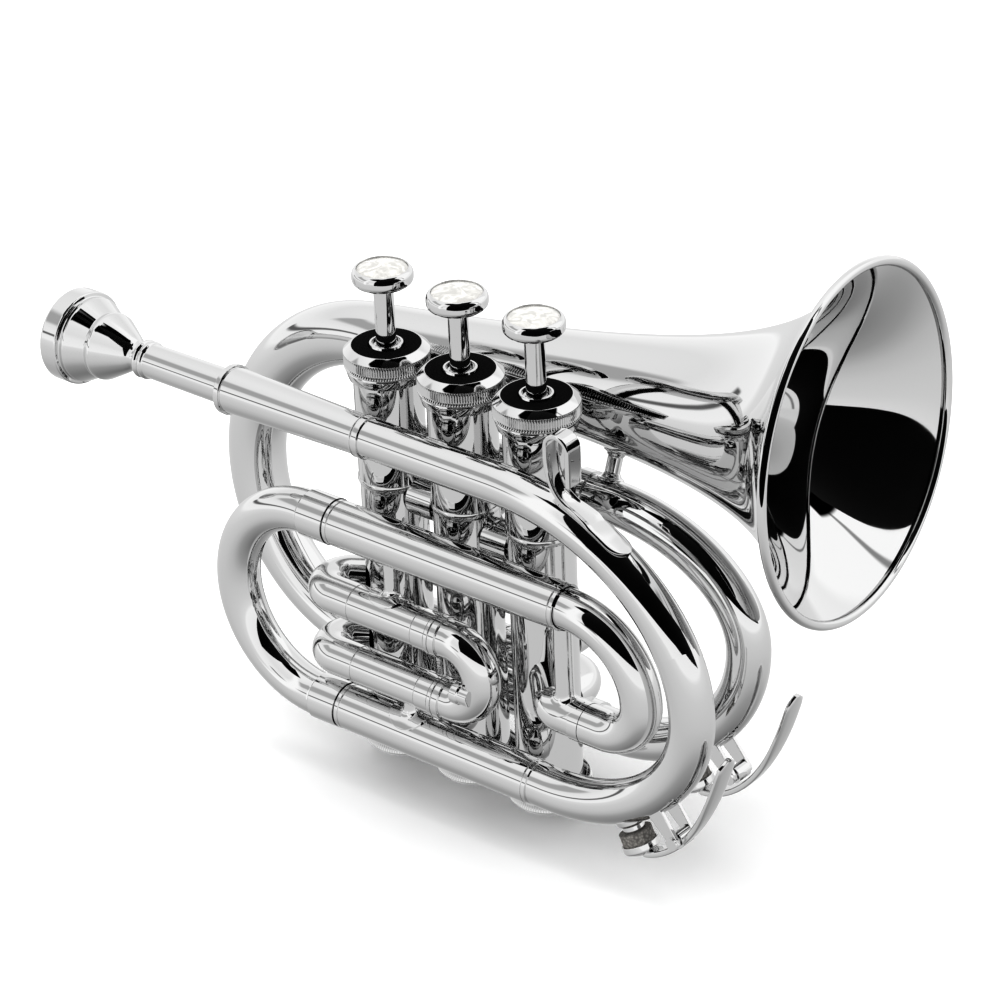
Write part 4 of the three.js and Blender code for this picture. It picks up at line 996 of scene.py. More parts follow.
@dataclass
class WaterKey(Maker):
    """A water key on a bow: nipple and ears on the bow, lever, screw and cork on their own body."""

    bow: OvalBow | None = None
    tube_radius: float = 5.4
    body: Body = Body.NEAR_KEY
    prefix: str = "near"
    cup_angle: float = math.radians(-59.5)
    pivot_angle: float = math.radians(-43.5)
    tip_angle: float = math.radians(-8)
    cup_offset: float = 8.6
    pivot_offset: float = 8.0
    bend_offset: float = 11.6
    tip_offset: float = 6.2
    arm_width: float = 4.6
    tip_width: float = 7.0
    thickness: float = 1.5
    nipple_radius: float = 3.0
    nipple_height: float = 2.6
    cork_radius: float = 4.4
    cork_height: float = 4.2
    cup_radius: float = 4.9
    cup_height: float = 1.7
    pin_radius: float = 1.0
    barrel_radius: float = 2.2
    ear_thickness: float = 1.2
    ear_width: float = 3.1
    ear_root_width: float = 4.6
    ear_bevel: float = 0.15
    gap: float = 0.3
    nipple_bore: float = 1.6
    # Height on the bow and reach past the nipple's radius, up its coved foot
    nipple_steps: Steps = ((-1.2, 1.2), (0.4, 0.9), (0.9, 0.0))
    ear_root: float = 2.2
    ear_shoulder: float = 0.6
    ear_rounding: float = 1.4
    cup_seat_share: float = 0.8
    cup_top_share: float = 0.55
    cup_slack: float = 0.1
    cup_crown: float = 1.2
    cup_hole: float = 0.6
    cup_wall: float = 1.4
    screw_head_radius: float = 1.7
    screw_head_height: float = 0.9
    screw_seat: float = 0.05
    screw_end: float = 0.5
    cork_seat: float = 0.05
    # Along the lever: where its thumb pad widens and how far that goes, and its two rounded ends
    pad_start_share: float = 0.45
    pad_length_share: float = 0.3
    cup_round_share: float = 0.05
    thumb_round_share: float = 0.07
    blunt_share: float = 0.04
    thick_share: float = 1.15
    thinning_share: float = 0.35
    pad_crown: float = 0.25
    flat_radius: float = 400.0
    arm_steps: int = 40

    def at(self, angle: float, height: float, sideways: float = 0.0) -> Vector:
        """A point by angle round the bow, height above its outside and distance across it."""
        return self.bow.at(angle, self.tube_radius + height, sideways)

    def seat(self) -> list[tuple[str, Draft]]:
        """Makes the nipple and the two ears that stay on the bow.

        Returns:
            Name and draft of each.
        """
        out = self.bow.outward(self.cup_angle)
        steps = [(height, self.nipple_radius + reach) for height, reach in self.nipple_steps]
        nipple = turned([
            (steps[0][0], self.nipple_bore), *steps, (self.nipple_height, self.nipple_radius),
            (self.nipple_height, self.nipple_bore),
        ], self.at(self.cup_angle, 0), out, sides=48, edge=0.25)
        forms = [(f"{self.prefix}_key_nipple", nipple)]
        tip = self.pivot_offset + self.ear_width / 2
        root = self.ear_root_width / 2
        outline = soften([
            (-self.ear_root, -root), (self.ear_shoulder, -root), (self.pivot_offset, -self.ear_width / 2),
            (tip, -self.ear_width / 3), (tip, self.ear_width / 3), (self.pivot_offset, self.ear_width / 2),
            (self.ear_shoulder, root), (-self.ear_root, root),
        ], self.ear_rounding, closed=True, steps=5)
        ear_out = self.bow.outward(self.pivot_angle)
        for side, mark in ((-1, "near"), (1, "far")):
            middle = side * (self.arm_width / 2 + self.gap + self.ear_thickness / 2)
            foot = self.at(self.pivot_angle, 0, middle)
            form = plate(outline, self.ear_thickness, foot, ear_out, AXIS_Y.cross(ear_out))
            forms.append((f"{self.prefix}_key_{mark}_ear", form))
        return forms

    def lever(self) -> list[tuple[str, Draft]]:
        """Makes the lever's arm, barrel, cup and pivot screw.

        Returns:
            Name and draft of each.
        """
        count = self.arm_steps
        start = self.at(self.cup_angle, self.cup_offset)
        pull = self.at(self.pivot_angle, 2 * self.bend_offset - self.cup_offset / 2 - self.tip_offset / 2)
        end = self.at(self.tip_angle, self.tip_offset)
        points = []
        tangents = []
        for k in range(count + 1):
            t = k / count
            points.append(start * (1 - t) ** 2 + pull * (2 * t * (1 - t)) + end * t ** 2)
            tangents.append(((pull - start) * (1 - t) + (end - pull) * t).normalized())
        arm_path = Path(points, tangents, self.bow.outward(self.cup_angle))

        def section(share: float) -> Section:
            """Narrow at the cup, wide and thin at the thumb pad, with a rounded end.

            Args:
                share: share of the length.

            Returns:
                Width, thickness, dish and saddle radius.
            """
            widen = max(0.0, min(1.0, (share - self.pad_start_share) / self.pad_length_share))
            widen = widen * widen * (3 - 2 * widen)
            width = self.arm_width + (self.tip_width - self.arm_width) * widen
            end = max(0.0, 1 - (1 - share) / self.thumb_round_share)
            start = max(0.0, 1 - share / self.cup_round_share)
            width *= math.sqrt(max(self.blunt_share, 1 - max(end, start) ** 2))
            thick = self.thickness * (self.thick_share - self.thinning_share * widen)
            return width, thick, -self.pad_crown * widen, self.flat_radius

        cup_start = self.nipple_height + self.cork_height * self.cup_seat_share
        cup_end = self.nipple_height + self.cork_height + 2 * self.gap + self.cup_height
        floor = cup_end - self.cup_wall
        inside = self.cork_radius + self.cup_slack
        out = self.bow.outward(self.cup_angle)
        cup = turned([
            (cup_start, inside), (cup_start, self.cup_radius), (cup_end - self.cup_crown, self.cup_radius),
            (cup_end, self.cup_radius * self.cup_top_share), (cup_end, self.cup_hole),
            (floor, self.cup_hole), (floor, inside),
        ], self.at(self.cup_angle, 0), out, sides=56, edge=0.5)
        middle = self.at(self.pivot_angle, self.pivot_offset)
        half = self.arm_width / 2
        barrel = turned([(-half, 0), (-half, self.barrel_radius), (half, self.barrel_radius), (half, 0)],
                        middle, AXIS_Y, sides=40, edge=0.3)
        head = half + self.gap + self.ear_thickness
        head_top = -head - self.screw_head_height
        seat = -head - self.screw_seat
        tip = head + self.screw_end
        screw = turned([
            (head_top, 0), (head_top, self.screw_head_radius), (seat, self.screw_head_radius),
            (seat, self.pin_radius), (tip, self.pin_radius), (tip, 0),
        ], middle, AXIS_Y, sides=36, edge=0.25)
        return [(f"{self.prefix}_key_arm", ribbon(arm_path, section)), (f"{self.prefix}_key_cup", cup),
                (f"{self.prefix}_key_barrel", barrel), (f"{self.prefix}_key_screw", screw)]

    def cork(self) -> Draft:
        """Makes the cork pad.

        Returns:
            The draft.
        """
        start = self.nipple_height + self.cork_seat
        end = self.nipple_height + self.cork_height + self.gap
        radius = self.cork_radius
        return turned([(start, 0), (start, radius), (end, radius), (end, 0)], self.at(self.cup_angle, 0),
                      self.bow.outward(self.cup_angle), sides=40, edge=0.3)

    def build(self) -> None:
        """Makes the key; the arm stands for the lever's node."""
        for name, form in self.seat():
            self.silver(form, name, Body.HORN, bevel=self.ear_bevel if "ear" in name else 0.0)
        for name, form in self.lever():
            replaced = [f"{self.prefix}_water_key"] if name.endswith("arm") else []
            self.silver(form, name, self.body, *replaced)
        dress(self.cork().make(f"{self.prefix}_key_cork"), self.finishes.cork, Slot.CORK, self.body,
              f"{self.prefix}_water_key_cork")


@dataclass
class NearTubing(Maker):
    """The leadpipe and its bow, the outer slide tubes, the tuning slide, and the inner bow and elbow."""

    lower_front_x: float = 36.0
    upper_front_x: float = 46.9
    slide_rear_x: float = -29.6
    tuning_bow_x: float = -38.9
    tuning_ferrule_radius: float = 6.45
    tuning_reach: float = 42.0
    inner_tip_x: float = 70.45
    inner_tip_z: float = -7.0
    inner_top_reach: float = 22.9
    inner_low_reach: float = 11.5
    entry_ring_x: float = 53.5
    entry_ring_width: float = 3.4
    entry_ring_height: float = 0.35
    entry_corner_x: float = 42.0
    entry_bend: float = 8.0
    lip: float = 1.1
    groove_width: float = 0.3
    groove_depth: float = 0.3
    ferrule_groove: float = 0.4
    joint_gap: float = 0.1
    crook_gap: float = 0.4
    leg_root: float = 0.3
    taper_shares: Pair = (0.3, 0.55)

    def straight(self, x_start: float, x_end: float, z: float, radius: float,
                 bands: Bands = ()) -> Draft:
        """A straight tube along X, with its bore.

        Args:
            x_start: one end.
            x_end: the other end.
            z: height of its axis.
            radius: outside radius.
            bands: start, end and radius of each step.

        Returns:
            The draft.
        """
        y = self.layout.near_y
        path = bent_path([Vector((x_start, y, z)), Vector((x_end, y, z))])
        outline = stepped(path.length, radius, bands)
        return swept(path, outline, radius - self.layout.tube_wall, edge=0.15)

    def leadpipe(self) -> Draft:
        """Makes the leadpipe with its bow, down to the lower slide tube.

        Returns:
            The draft.
        """
        lay = self.layout
        path = lay.front_bow.path()
        end = path.length
        radius = lay.leadpipe_radius
        wide = lay.bow_radius - self.joint_gap
        taper_start, taper_end = self.taper_shares
        outline = [(0.0, radius), (end * taper_start, radius), (end * taper_end, wide), (end, wide)]
        return swept(path, outline, radius - lay.tube_wall, sides=72)

    def outer_tubes(self) -> list[tuple[str, str, Draft]]:
        """Makes the two outer slide tubes with the raised lip at each end.

        Returns:
            Name, replaced node and draft of each.
        """
        lay = self.layout
        forms = []
        for name, node, front, z in (
            ("upper_outer_slide_tube", "upper_outer_tube", self.upper_front_x, lay.upper_slide_z),
            ("lower_outer_slide_tube", "lower_outer_tube", self.lower_front_x, lay.lower_slide_z),
        ):
            length = front - self.slide_rear_x
            floor = lay.slide_tube_radius - self.groove_depth
            lip_end = self.lip + self.groove_width
            bands = [(self.lip, lip_end, floor), (length - lip_end, length - self.lip, floor)]
            tube = self.straight(self.slide_rear_x, front, z, lay.slide_tube_radius, bands)
            forms.append((name, node, tube))
        return forms

    def tuning_crook(self) -> Draft:
        """Makes the tuning slide's crook with its two ferrules.

        Returns:
            The draft.
        """
        lay = self.layout
        start = self.slide_rear_x - self.crook_gap
        bend = (lay.upper_slide_z - lay.lower_slide_z) / 2
        path = OvalBow(y=lay.near_y, tip_x=self.tuning_bow_x - bend, tip_z=lay.lower_slide_z + bend,
                       upper_z=lay.upper_slide_z, lower_z=lay.lower_slide_z, top_reach=-bend,
                       low_reach=-bend, start_x=start, end_x=start).path()
        ferrule = start - self.tuning_bow_x
        wide = self.tuning_ferrule_radius
        floor = lay.bow_radius - self.groove_depth
        end = path.length
        groove_end = ferrule + self.ferrule_groove
        bands = [(0.0, ferrule, wide), (ferrule, groove_end, floor),
                 (end - groove_end, end - ferrule, floor), (end - ferrule, end, wide)]
        return swept(path, stepped(end, lay.bow_radius, bands), lay.bow_radius - lay.tube_wall, sides=72)

    def entry_bow(self) -> Draft:
        """Makes the inner front bow.

        Returns:
            The draft.
        """
        lay = self.layout
        path = OvalBow(y=lay.near_y, tip_x=self.inner_tip_x, tip_z=self.inner_tip_z,
                       upper_z=lay.upper_slide_z, lower_z=lay.entry_z,
                       top_reach=self.inner_top_reach, low_reach=self.inner_low_reach,
                       start_x=self.upper_front_x + self.joint_gap,
                       end_x=self.entry_ring_x + self.joint_gap).path()
        radius = lay.leadpipe_radius
        return swept(path, stepped(path.length, radius), radius - lay.tube_wall, sides=72)

    def entry_elbow(self) -> Draft:
        """Makes the elbow from the inner bow into the third valve.

        Returns:
            The draft.
        """
        lay = self.layout
        low = lay.entry_z
        casing = lay.valve(2, 0, low)
        corner = Vector((self.entry_corner_x, lay.near_y, low))
        inward = (casing - corner).normalized()
        path = bent_path([Vector((self.entry_ring_x, lay.near_y, low)), corner,
                          casing - inward * (lay.casing_radius - lay.casing_bite)], self.entry_bend)
        radius = lay.entry_radius
        bands = [(0.0, self.entry_ring_width, radius + self.entry_ring_height)]
        return swept(path, stepped(path.length, radius, bands), radius - lay.tube_wall)

    def tuning_leg(self, z: float) -> Draft:
        """Makes one inner leg of the tuning slide.

        Args:
            z: height of its axis.

        Returns:
            The draft.
        """
        radius = self.layout.slide_tube_radius - self.layout.tube_wall - self.layout.clearance
        front = self.slide_rear_x + self.tuning_reach
        return self.straight(self.slide_rear_x - self.leg_root, front, z, radius)

    def build(self) -> None:
        """Makes the near tubing and its water key."""
        lay = self.layout
        self.silver(self.leadpipe(), "leadpipe_and_front_bow", Body.HORN, "leadpipe_bow")
        for name, node, form in self.outer_tubes():
            self.silver(form, name, Body.HORN, node)
        self.silver(self.tuning_crook(), "tuning_crook", Body.TUNING_SLIDE, "tuning_slide_crook")
        for place, z in (("upper", lay.upper_slide_z), ("lower", lay.lower_slide_z)):
            self.silver(self.tuning_leg(z), f"tuning_{place}_leg", Body.TUNING_SLIDE,
                        f"tuning_slide_{place}_leg")
        self.silver(self.entry_bow(), "inner_front_bow", Body.HORN, "entry_bow")
        self.silver(self.entry_elbow(), "third_valve_entry_elbow", Body.HORN, "entry_elbow")
        WaterKey(lay, self.finishes, bow=lay.front_bow, tube_radius=lay.leadpipe_radius).build()


@dataclass
class ValveBlock(Maker):
    """The three casings with their caps, and the finger buttons with their pearls."""

    casing_bottom_z: float = -53.0
    lower_radius: float = 8.9
    bore_radius: float = 8.2
    ring_radius: float = 9.5
    ring_z: float = 21.5
    ring_height: float = 1.6
    cap_radius: float = 11.4
    cap_height: float = 8.8
    cap_bevel: float = 1.5
    cap_flat_radius: float = 9.4
    felt_recess: float = 0.9
    felt_recess_radius: float = 9.15
    felt_gap: float = 0.05
    cap_band: float = 4.0
    cap_skirt_radius: float = 10.35
    cap_plate: float = 3.5
    collar_radius: float = 4.8
    collar_inner: float = 3.7
    collar_height: float = 0.6
    teeth: int = 100
    tooth_depth: float = 0.5
    bottom_radius: float = 11.2
    bottom_height: float = 7.7
    bottom_lip: float = 0.7
    bottom_bevel: float = 1.5
    stem_radius: float = 2.65
    stem_foot_z: float = 44.3
    button_radius: float = 8.1
    button_top_z: float = 81.7
    button_height: float = 5.0
    rim_width: float = 1.35
    dish_depth: float = 1.5
    pearl_crown: float = 0.9
    pearl_seat: float = 0.05
    pearl_gap: float = 0.03
    pearl_edge: float = 0.35
    pearl_steps: int = 10
    ring_cove: float = 0.5
    ring_low_round: float = 0.25
    ring_high_round: float = 0.15
    ring_crown: float = 0.1
    cap_seat: float = 0.3
    thread_gap: float = 0.05
    collar_ledge: float = 0.75
    collar_taper: float = 0.1
    collar_round: float = 0.35
    collar_share: float = 0.8
    bevel_round: float = 0.1
    teeth_margin: float = 0.35
    teeth_steps: int = 5
    # Depth below the knurled band and how much slimmer than the cap, along the neck under it
    neck_steps: Steps = ((0.3, 0.45), (0.5, 0.5), (0.8, 0.35))
    cap_knurl: Pair = (0.15, 0.2)
    knurl_fade: float = 0.25
    bottom_dish: float = 0.5
    bottom_centre: float = 0.8
    bottom_foot: float = 1.2
    bottom_cove: float = 1.8
    bottom_teeth: Pair = (0.5, 2.9)
    bottom_knurl: Pair = (0.35, 3.55)
    # Depth below the cap's top and how much slimmer than the cap, round its upper edge
    bottom_steps: Steps = ((1.2, 0.0), (0.9, 0.4), (0.0, 0.5))
    stem_foot_radius: float = 4.0
    stem_foot_height: float = 1.8
    stem_top_gap: float = 0.2
    side_shares: Steps = (
        (0.0, 0.4), (0.02, 0.6), (0.08, 0.78), (0.17, 0.91), (0.3, 0.98), (0.42, 1.0), (0.66, 1.0),
        (0.8, 0.98), (0.9, 0.94), (0.97, 0.89), (1.0, 0.86))
    knuckle_radius: float = 5.3
    knuckle_bore: float = 4.7
    knuckle_heights: Pair = (18.15, 13.65)

    def knurl(self, low: float, high: float) -> Callable[[float, float, float], float]:
        """Upright knurling between two heights.

        Args:
            low: lower end of the band.
            high: upper end.

        Returns:
            Radius from height, radius and angle.
        """
        def reach(height: float, radius: float, angle: float) -> float:
            """Cuts a groove between two teeth, fading at the band's ends.

            Args:
                height: height of the point.
                radius: radius without the knurling.
                angle: angle round the cap.

            Returns:
                The radius there.
            """
            inside = min(height - low, high - height)
            if inside <= 0:
                return radius
            groove = 0.5 - 0.5 * math.cos(self.teeth * angle)
            return radius - self.tooth_depth * groove * min(1.0, inside / self.knurl_fade)
        return reach

    def casing(self, index: int) -> Draft:
        """Makes a casing with its middle ring and lower end.

        Args:
            index: the valve, counted from 0.

        Returns:
            The draft.
        """
        top = self.layout.cap_top_z - self.cap_plate - self.cap_seat
        half = self.ring_height / 2
        upper = self.layout.casing_radius
        profile = [
            (self.casing_bottom_z, self.bore_radius), (self.casing_bottom_z, self.lower_radius),
            (self.ring_z - half - self.ring_cove, self.lower_radius),
            (self.ring_z - half, self.ring_radius - self.ring_low_round),
            (self.ring_z - self.ring_crown, self.ring_radius),
            (self.ring_z + half, self.ring_radius - self.ring_high_round),
            (self.ring_z + half, upper), (top, upper), (top, self.bore_radius),
        ]
        return turned(profile, self.layout.valve(index), AXIS_Z, sides=96, edge=0.12)

    def top_cap(self, index: int) -> Draft:
        """Makes a top cap: flat top with its collar, bevel, knurled band and tapered skirt.

        Args:
            index: the valve, counted from 0.

        Returns:
            The draft.
        """
        top = self.layout.cap_top_z
        bevel = top - self.cap_bevel
        band = bevel - self.cap_band
        bottom = top - self.cap_height
        hole = self.stem_radius + self.layout.clearance
        screw = self.layout.casing_radius + self.thread_gap
        ledge = top - self.collar_ledge
        plain = self.teeth_margin
        teeth = [(bevel - plain - (self.cap_band - 2 * plain) * k / self.teeth_steps, self.cap_radius)
                 for k in range(self.teeth_steps + 1)]
        profile = [
            (top - self.cap_plate, hole), (ledge, hole), (ledge, self.collar_inner),
            (top + self.collar_height, self.collar_inner + self.collar_taper),
            (top + self.collar_height * self.collar_share, self.collar_radius - self.collar_round),
            (top - self.felt_recess, self.collar_radius),
            (top - self.felt_recess, self.felt_recess_radius), (top, self.felt_recess_radius),
            (top, self.cap_flat_radius), (bevel, self.cap_radius - self.bevel_round),
            (bevel - self.bevel_round, self.cap_radius),
            *teeth,
            (band, self.cap_radius),
            *[(band - depth, self.cap_radius - slimmer) for depth, slimmer in self.neck_steps],
            (bottom, self.cap_skirt_radius), (bottom, screw), (top - self.cap_plate, screw),
        ]
        low_end, high_end = self.cap_knurl
        return turned(profile, self.layout.valve(index), AXIS_Z, sides=self.teeth * 6, edge=0.08,
                      ripple=self.knurl(band + low_end, bevel - high_end))

    def felt_ring(self, index: int) -> Draft:
        """Makes the black felt ring let into the top cap, which the button lands on.

        Args:
            index: the valve, counted from 0.

        Returns:
            The draft.
        """
        top = self.layout.cap_top_z
        inner = self.collar_radius + self.felt_gap
        outer = self.felt_recess_radius - self.felt_gap
        foot = top - self.felt_recess + self.felt_gap
        face = top - self.felt_gap
        profile = [(foot, inner), (face, inner), (face, outer), (foot, outer)]
        return turned(profile, self.layout.valve(index), AXIS_Z, sides=96, edge=0.12)

    def bottom_cap(self, index: int) -> Draft:
        """Makes a bottom cap with its knurled edge and a shallow dish below.

        Args:
            index: the valve, counted from 0.

        Returns:
            The draft.
        """
        top = self.casing_bottom_z + self.bottom_lip
        low = top - self.bottom_height
        bevel = low + self.bottom_bevel
        first, run = self.bottom_teeth
        teeth = [(bevel + first + run * k / self.teeth_steps, self.bottom_radius)
                 for k in range(self.teeth_steps + 1)]
        inner = self.lower_radius + self.thread_gap
        flat = self.bottom_radius - self.bottom_bevel
        floor = self.casing_bottom_z - self.cap_seat
        profile = [
            (low + self.bottom_dish, 0), (low + self.bottom_dish, self.bottom_centre),
            (low + self.bottom_dish, flat - self.bottom_cove), (low, flat - self.bottom_foot),
            (low, flat), (bevel, self.bottom_radius),
            *teeth,
            *[(top - depth, self.bottom_radius - slimmer) for depth, slimmer in self.bottom_steps],
            (top, inner), (floor, inner), (floor, 0),
        ]
        low_end, high_end = self.bottom_knurl
        return turned(profile, self.layout.valve(index), AXIS_Z, sides=self.teeth * 6, edge=0.1,
                      ripple=self.knurl(bevel + low_end, bevel + high_end))

    def button(self, index: int) -> Draft:
        """Makes a finger button with its stem: a dished top over a rounded, undercut side.

        Args:
            index: the valve, counted from 0.

        Returns:
            The draft.
        """
        top = self.button_top_z
        under = top - self.button_height
        radius = self.button_radius
        foot = self.stem_foot_z
        shoulder = foot + self.stem_foot_height
        profile = [
            (foot, 0), (foot, self.stem_foot_radius), (shoulder, self.stem_foot_radius),
            (shoulder, self.stem_radius), (under - self.stem_top_gap, self.stem_radius),
            *[(under + self.button_height * rise, radius * reach) for rise, reach in self.side_shares],
            (top, radius - self.rim_width), (top - self.dish_depth, radius - self.rim_width),
            (top - self.dish_depth, 0),
        ]
        return turned(profile, self.layout.valve(index), AXIS_Z, sides=96, edge=0.25)

    def pearl(self, index: int) -> Draft:
        """Makes the domed pearl inlay, its edge just under the button's rim.

        Args:
            index: the valve, counted from 0.

        Returns:
            The draft.
        """
        base = self.button_top_z - self.dish_depth + self.pearl_seat
        radius = self.button_radius - self.rim_width - self.pearl_gap
        edge_z = self.button_top_z - self.pearl_edge
        count = self.pearl_steps
        dome = [(edge_z + self.pearl_crown * (1 - (k / count) ** 2), radius * k / count)
                for k in range(count, 0, -1)]
        profile = [(base, 0), (base, radius), *dome, (edge_z + self.pearl_crown, 0)]
        return turned(profile, self.layout.valve(index), AXIS_Z, sides=72, edge=0.05)

    def knuckle(self, left: int, z: float) -> Draft:
        """Makes the short tube between two neighbouring casings.

        Args:
            left: the valve on its left, counted from 0.
            z: height of its axis.

        Returns:
            The draft.
        """
        reach = self.layout.casing_radius - self.layout.casing_bite
        start = self.layout.valve(left, 0, z) + AXIS_X * reach
        end = self.layout.valve(left + 1, 0, z) - AXIS_X * reach
        outline = stepped((end - start).length, self.knuckle_radius)
        return swept(bent_path([start, end]), outline, self.knuckle_bore)

    def build(self) -> None:
        """Makes the block; the hidden pistons and springs keep their CAD shapes."""
        bodies = (Body.VALVE_1, Body.VALVE_2, Body.VALVE_3)
        for i, body in enumerate(bodies):
            number = i + 1
            self.silver(self.casing(i), f"casing_{number}", Body.HORN, f"valve_casing_{number}")
            self.silver(self.top_cap(i), f"knurled_top_cap_{number}", Body.HORN, f"top_cap_{number}")
            dress(self.felt_ring(i).make(f"felt_ring_{number}"), self.finishes.felt, Slot.CORK, Body.HORN)
            self.silver(self.bottom_cap(i), f"knurled_bottom_cap_{number}", Body.HORN,
                        f"bottom_cap_{number}")
            self.silver(self.button(i), f"button_and_stem_{number}", body, f"finger_button_{number}")
            dress(self.pearl(i).make(f"pearl_{number}"), self.finishes.pearl, Slot.PEARL, body,
                  f"button_pearl_{number}")
            for node in (f"piston_{number}", f"valve_spring_{number}"):
                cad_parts[node].data.materials.clear()
                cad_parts[node].data.materials.append(self.finishes.nickel)
        high, low = self.knuckle_heights
        self.silver(self.knuckle(0, high), "knuckle_first_second", Body.HORN, "knuckle_1_2")
        self.silver(self.knuckle(1, low), "knuckle_second_third", Body.HORN, "knuckle_2_3")


@dataclass
class ValveSlide(Maker):
    """A valve's slide: two sleeves fixed to the casing, and the crook that slides in them."""

    order: str = "first"
    index: int = 0
    body: Body = Body.FIRST_SLIDE
    upper_z: float = 0.0
    lower_z: float = 0.0
    corner: Vector | None = None
    direction: Vector = field(default_factory=lambda: AXIS_X.copy())
    plane: Vector = field(default_factory=Vector)
    sleeve_end: float = 3.0
    bow_start: float = 8.6
    leg_reach: float = 22.0
    crook_radius: float = 5.3
    ferrule_length: float = 4.9
    ferrule_extra: float = 0.5
    elbow_bend: float = 6.5
    sleeve_ring: float = 1.1
    elbow_seam: float = 0.0
    knob: float = 0.0
    stub: float = 0.0
    stub_radius: float = 2.9
    stub_drop: float = 2.7
    stub_aside: float = 4.5
    stub_wall: float = 0.9
    stub_depth: float = 1.8
    stub_waist: float = 0.4
    stub_round: float = 0.3
    stub_cove: float = 0.3
    stub_shares: Pair = (0.5, 0.56)
    lip: float = 1.1
    mouth_gap: float = 0.25
    groove_width: float = 0.3
    sleeve_groove: float = 0.25
    ferrule_groove: float = 0.3
    ring_rise: float = 0.22
    # How far a knob's root and the crook's skin overlap
    knob_root: float = 0.5
    # Height over the root and radius up a knob's neck, then distance below its top and radius round its head
    neck_steps: Steps = ((0.0, 2.4), (0.9, 1.7), (1.7, 1.35))
    head_steps: Steps = ((2.0, 1.35), (1.7, 2.1), (0.4, 2.1), (0.0, 1.5))

    @property
    def bend(self) -> float:
        """The crook's bend: half the distance between its legs."""
        return (self.upper_z - self.lower_z) / 2

    def point(self, z: float, distance: float) -> Vector:
        """A point on a leg's axis, by height and distance along the slide's direction."""
        return Vector((self.plane.x, self.plane.y, z)) + self.direction * distance

    def sleeve(self, z: float) -> Draft:
        """Makes a sleeve with its elbow into the casing, and a lip at its open end.

        Args:
            z: height of its axis.

        Returns:
            The draft.
        """
        lay = self.layout
        casing = lay.valve(self.index, 0, z)
        end = self.point(z, self.sleeve_end)
        second = Vector((self.corner.x, self.corner.y, z)) if self.corner else end
        inward = (second - casing).normalized()
        start = casing + inward * (lay.casing_radius - lay.casing_bite)
        corners = [start, second, end] if self.corner else [start, end]
        path = bent_path(corners, self.elbow_bend)
        length = path.length
        radius = lay.sleeve_radius
        floor = radius - self.sleeve_groove
        ring = length - self.sleeve_ring
        bands = [(ring - self.groove_width, ring, floor), (ring, length, radius + self.ring_rise)]
        if self.elbow_seam:
            seam = length - self.elbow_seam
            bands.insert(0, (seam - self.groove_width, seam, floor))
        return swept(path, stepped(length, radius, bands), radius - lay.slide_wall)

    def crook(self) -> Draft:
        """Makes the crook with its ferrules and inner legs as one tube.

        Returns:
            The draft.
        """
        start = self.sleeve_end + self.mouth_gap
        inner = start - self.leg_reach
        outer = self.bow_start + self.bend
        path = bent_path([self.point(self.upper_z, inner), self.point(self.upper_z, outer),
                          self.point(self.lower_z, outer), self.point(self.lower_z, inner)], self.bend)
        end = path.length
        leg = self.layout.sleeve_radius - self.layout.slide_wall - self.layout.clearance
        wide = self.crook_radius + self.ferrule_extra
        floor = wide - self.ferrule_groove
        reach = self.leg_reach
        lip = reach + self.lip
        lip_end = lip + self.groove_width
        stop = reach + self.ferrule_length
        bands = [(0.0, reach, leg), (reach, lip, wide), (lip, lip_end, floor), (lip_end, stop, wide)]
        bands += [(end - high, end - low, radius) for low, high, radius in reversed(bands)]
        return swept(path, stepped(end, self.crook_radius, bands), leg - self.layout.slide_wall, sides=64)

    def pull_knob(self) -> Draft:
        """Makes the pull knob: a neck from the crook and a round head.

        Returns:
            The draft.
        """
        foot = self.point((self.upper_z + self.lower_z) / 2, self.bow_start + self.bend)
        skin = self.crook_radius - self.knob_root
        length = self.crook_radius + self.knob
        neck = [(skin + height, radius) for height, radius in self.neck_steps]
        head = [(length - depth, radius) for depth, radius in self.head_steps]
        return turned([(skin, 0), *neck, *head, (length, 0)], foot, self.direction, sides=40, edge=0.3)

    def pull_stub(self) -> Draft:
        """Makes the short hollow pull stub, low inside the crook on its outer face.

        Returns:
            The draft.
        """
        middle = (self.upper_z + self.lower_z) / 2
        foot = self.point(middle - self.stub_drop, self.bow_start + self.bend) - AXIS_Y * self.stub_aside
        length = self.stub
        radius = self.stub_radius
        waist = radius - self.stub_waist
        waist_end, head_start = (length * share for share in self.stub_shares)
        floor = length - self.stub_depth
        return turned([
            (0.0, 0), (0.0, waist), (waist_end, waist), (head_start, radius),
            (length - self.stub_round, radius), (length, radius - self.stub_round),
            (length, radius - self.stub_wall),
            (floor, radius - self.stub_wall - self.stub_cove), (floor, 0),
        ], foot, -self.direction, sides=40, edge=0.2)

    def build(self) -> None:
        """Makes the slide's sleeves, crook and knob."""
        for place, z in (("upper", self.upper_z), ("lower", self.lower_z)):
            self.silver(self.sleeve(z), f"{self.order}_{place}_sleeve", Body.HORN,
                        f"{self.order}_slide_{place}_sleeve")
        self.silver(self.crook(), f"{self.order}_crook", self.body, f"{self.order}_slide_crook")
        if self.knob:
            self.silver(self.pull_knob(), f"{self.order}_pull_knob", self.body)
        if self.stub:
            self.silver(self.pull_stub(), f"{self.order}_pull_stub", self.body)


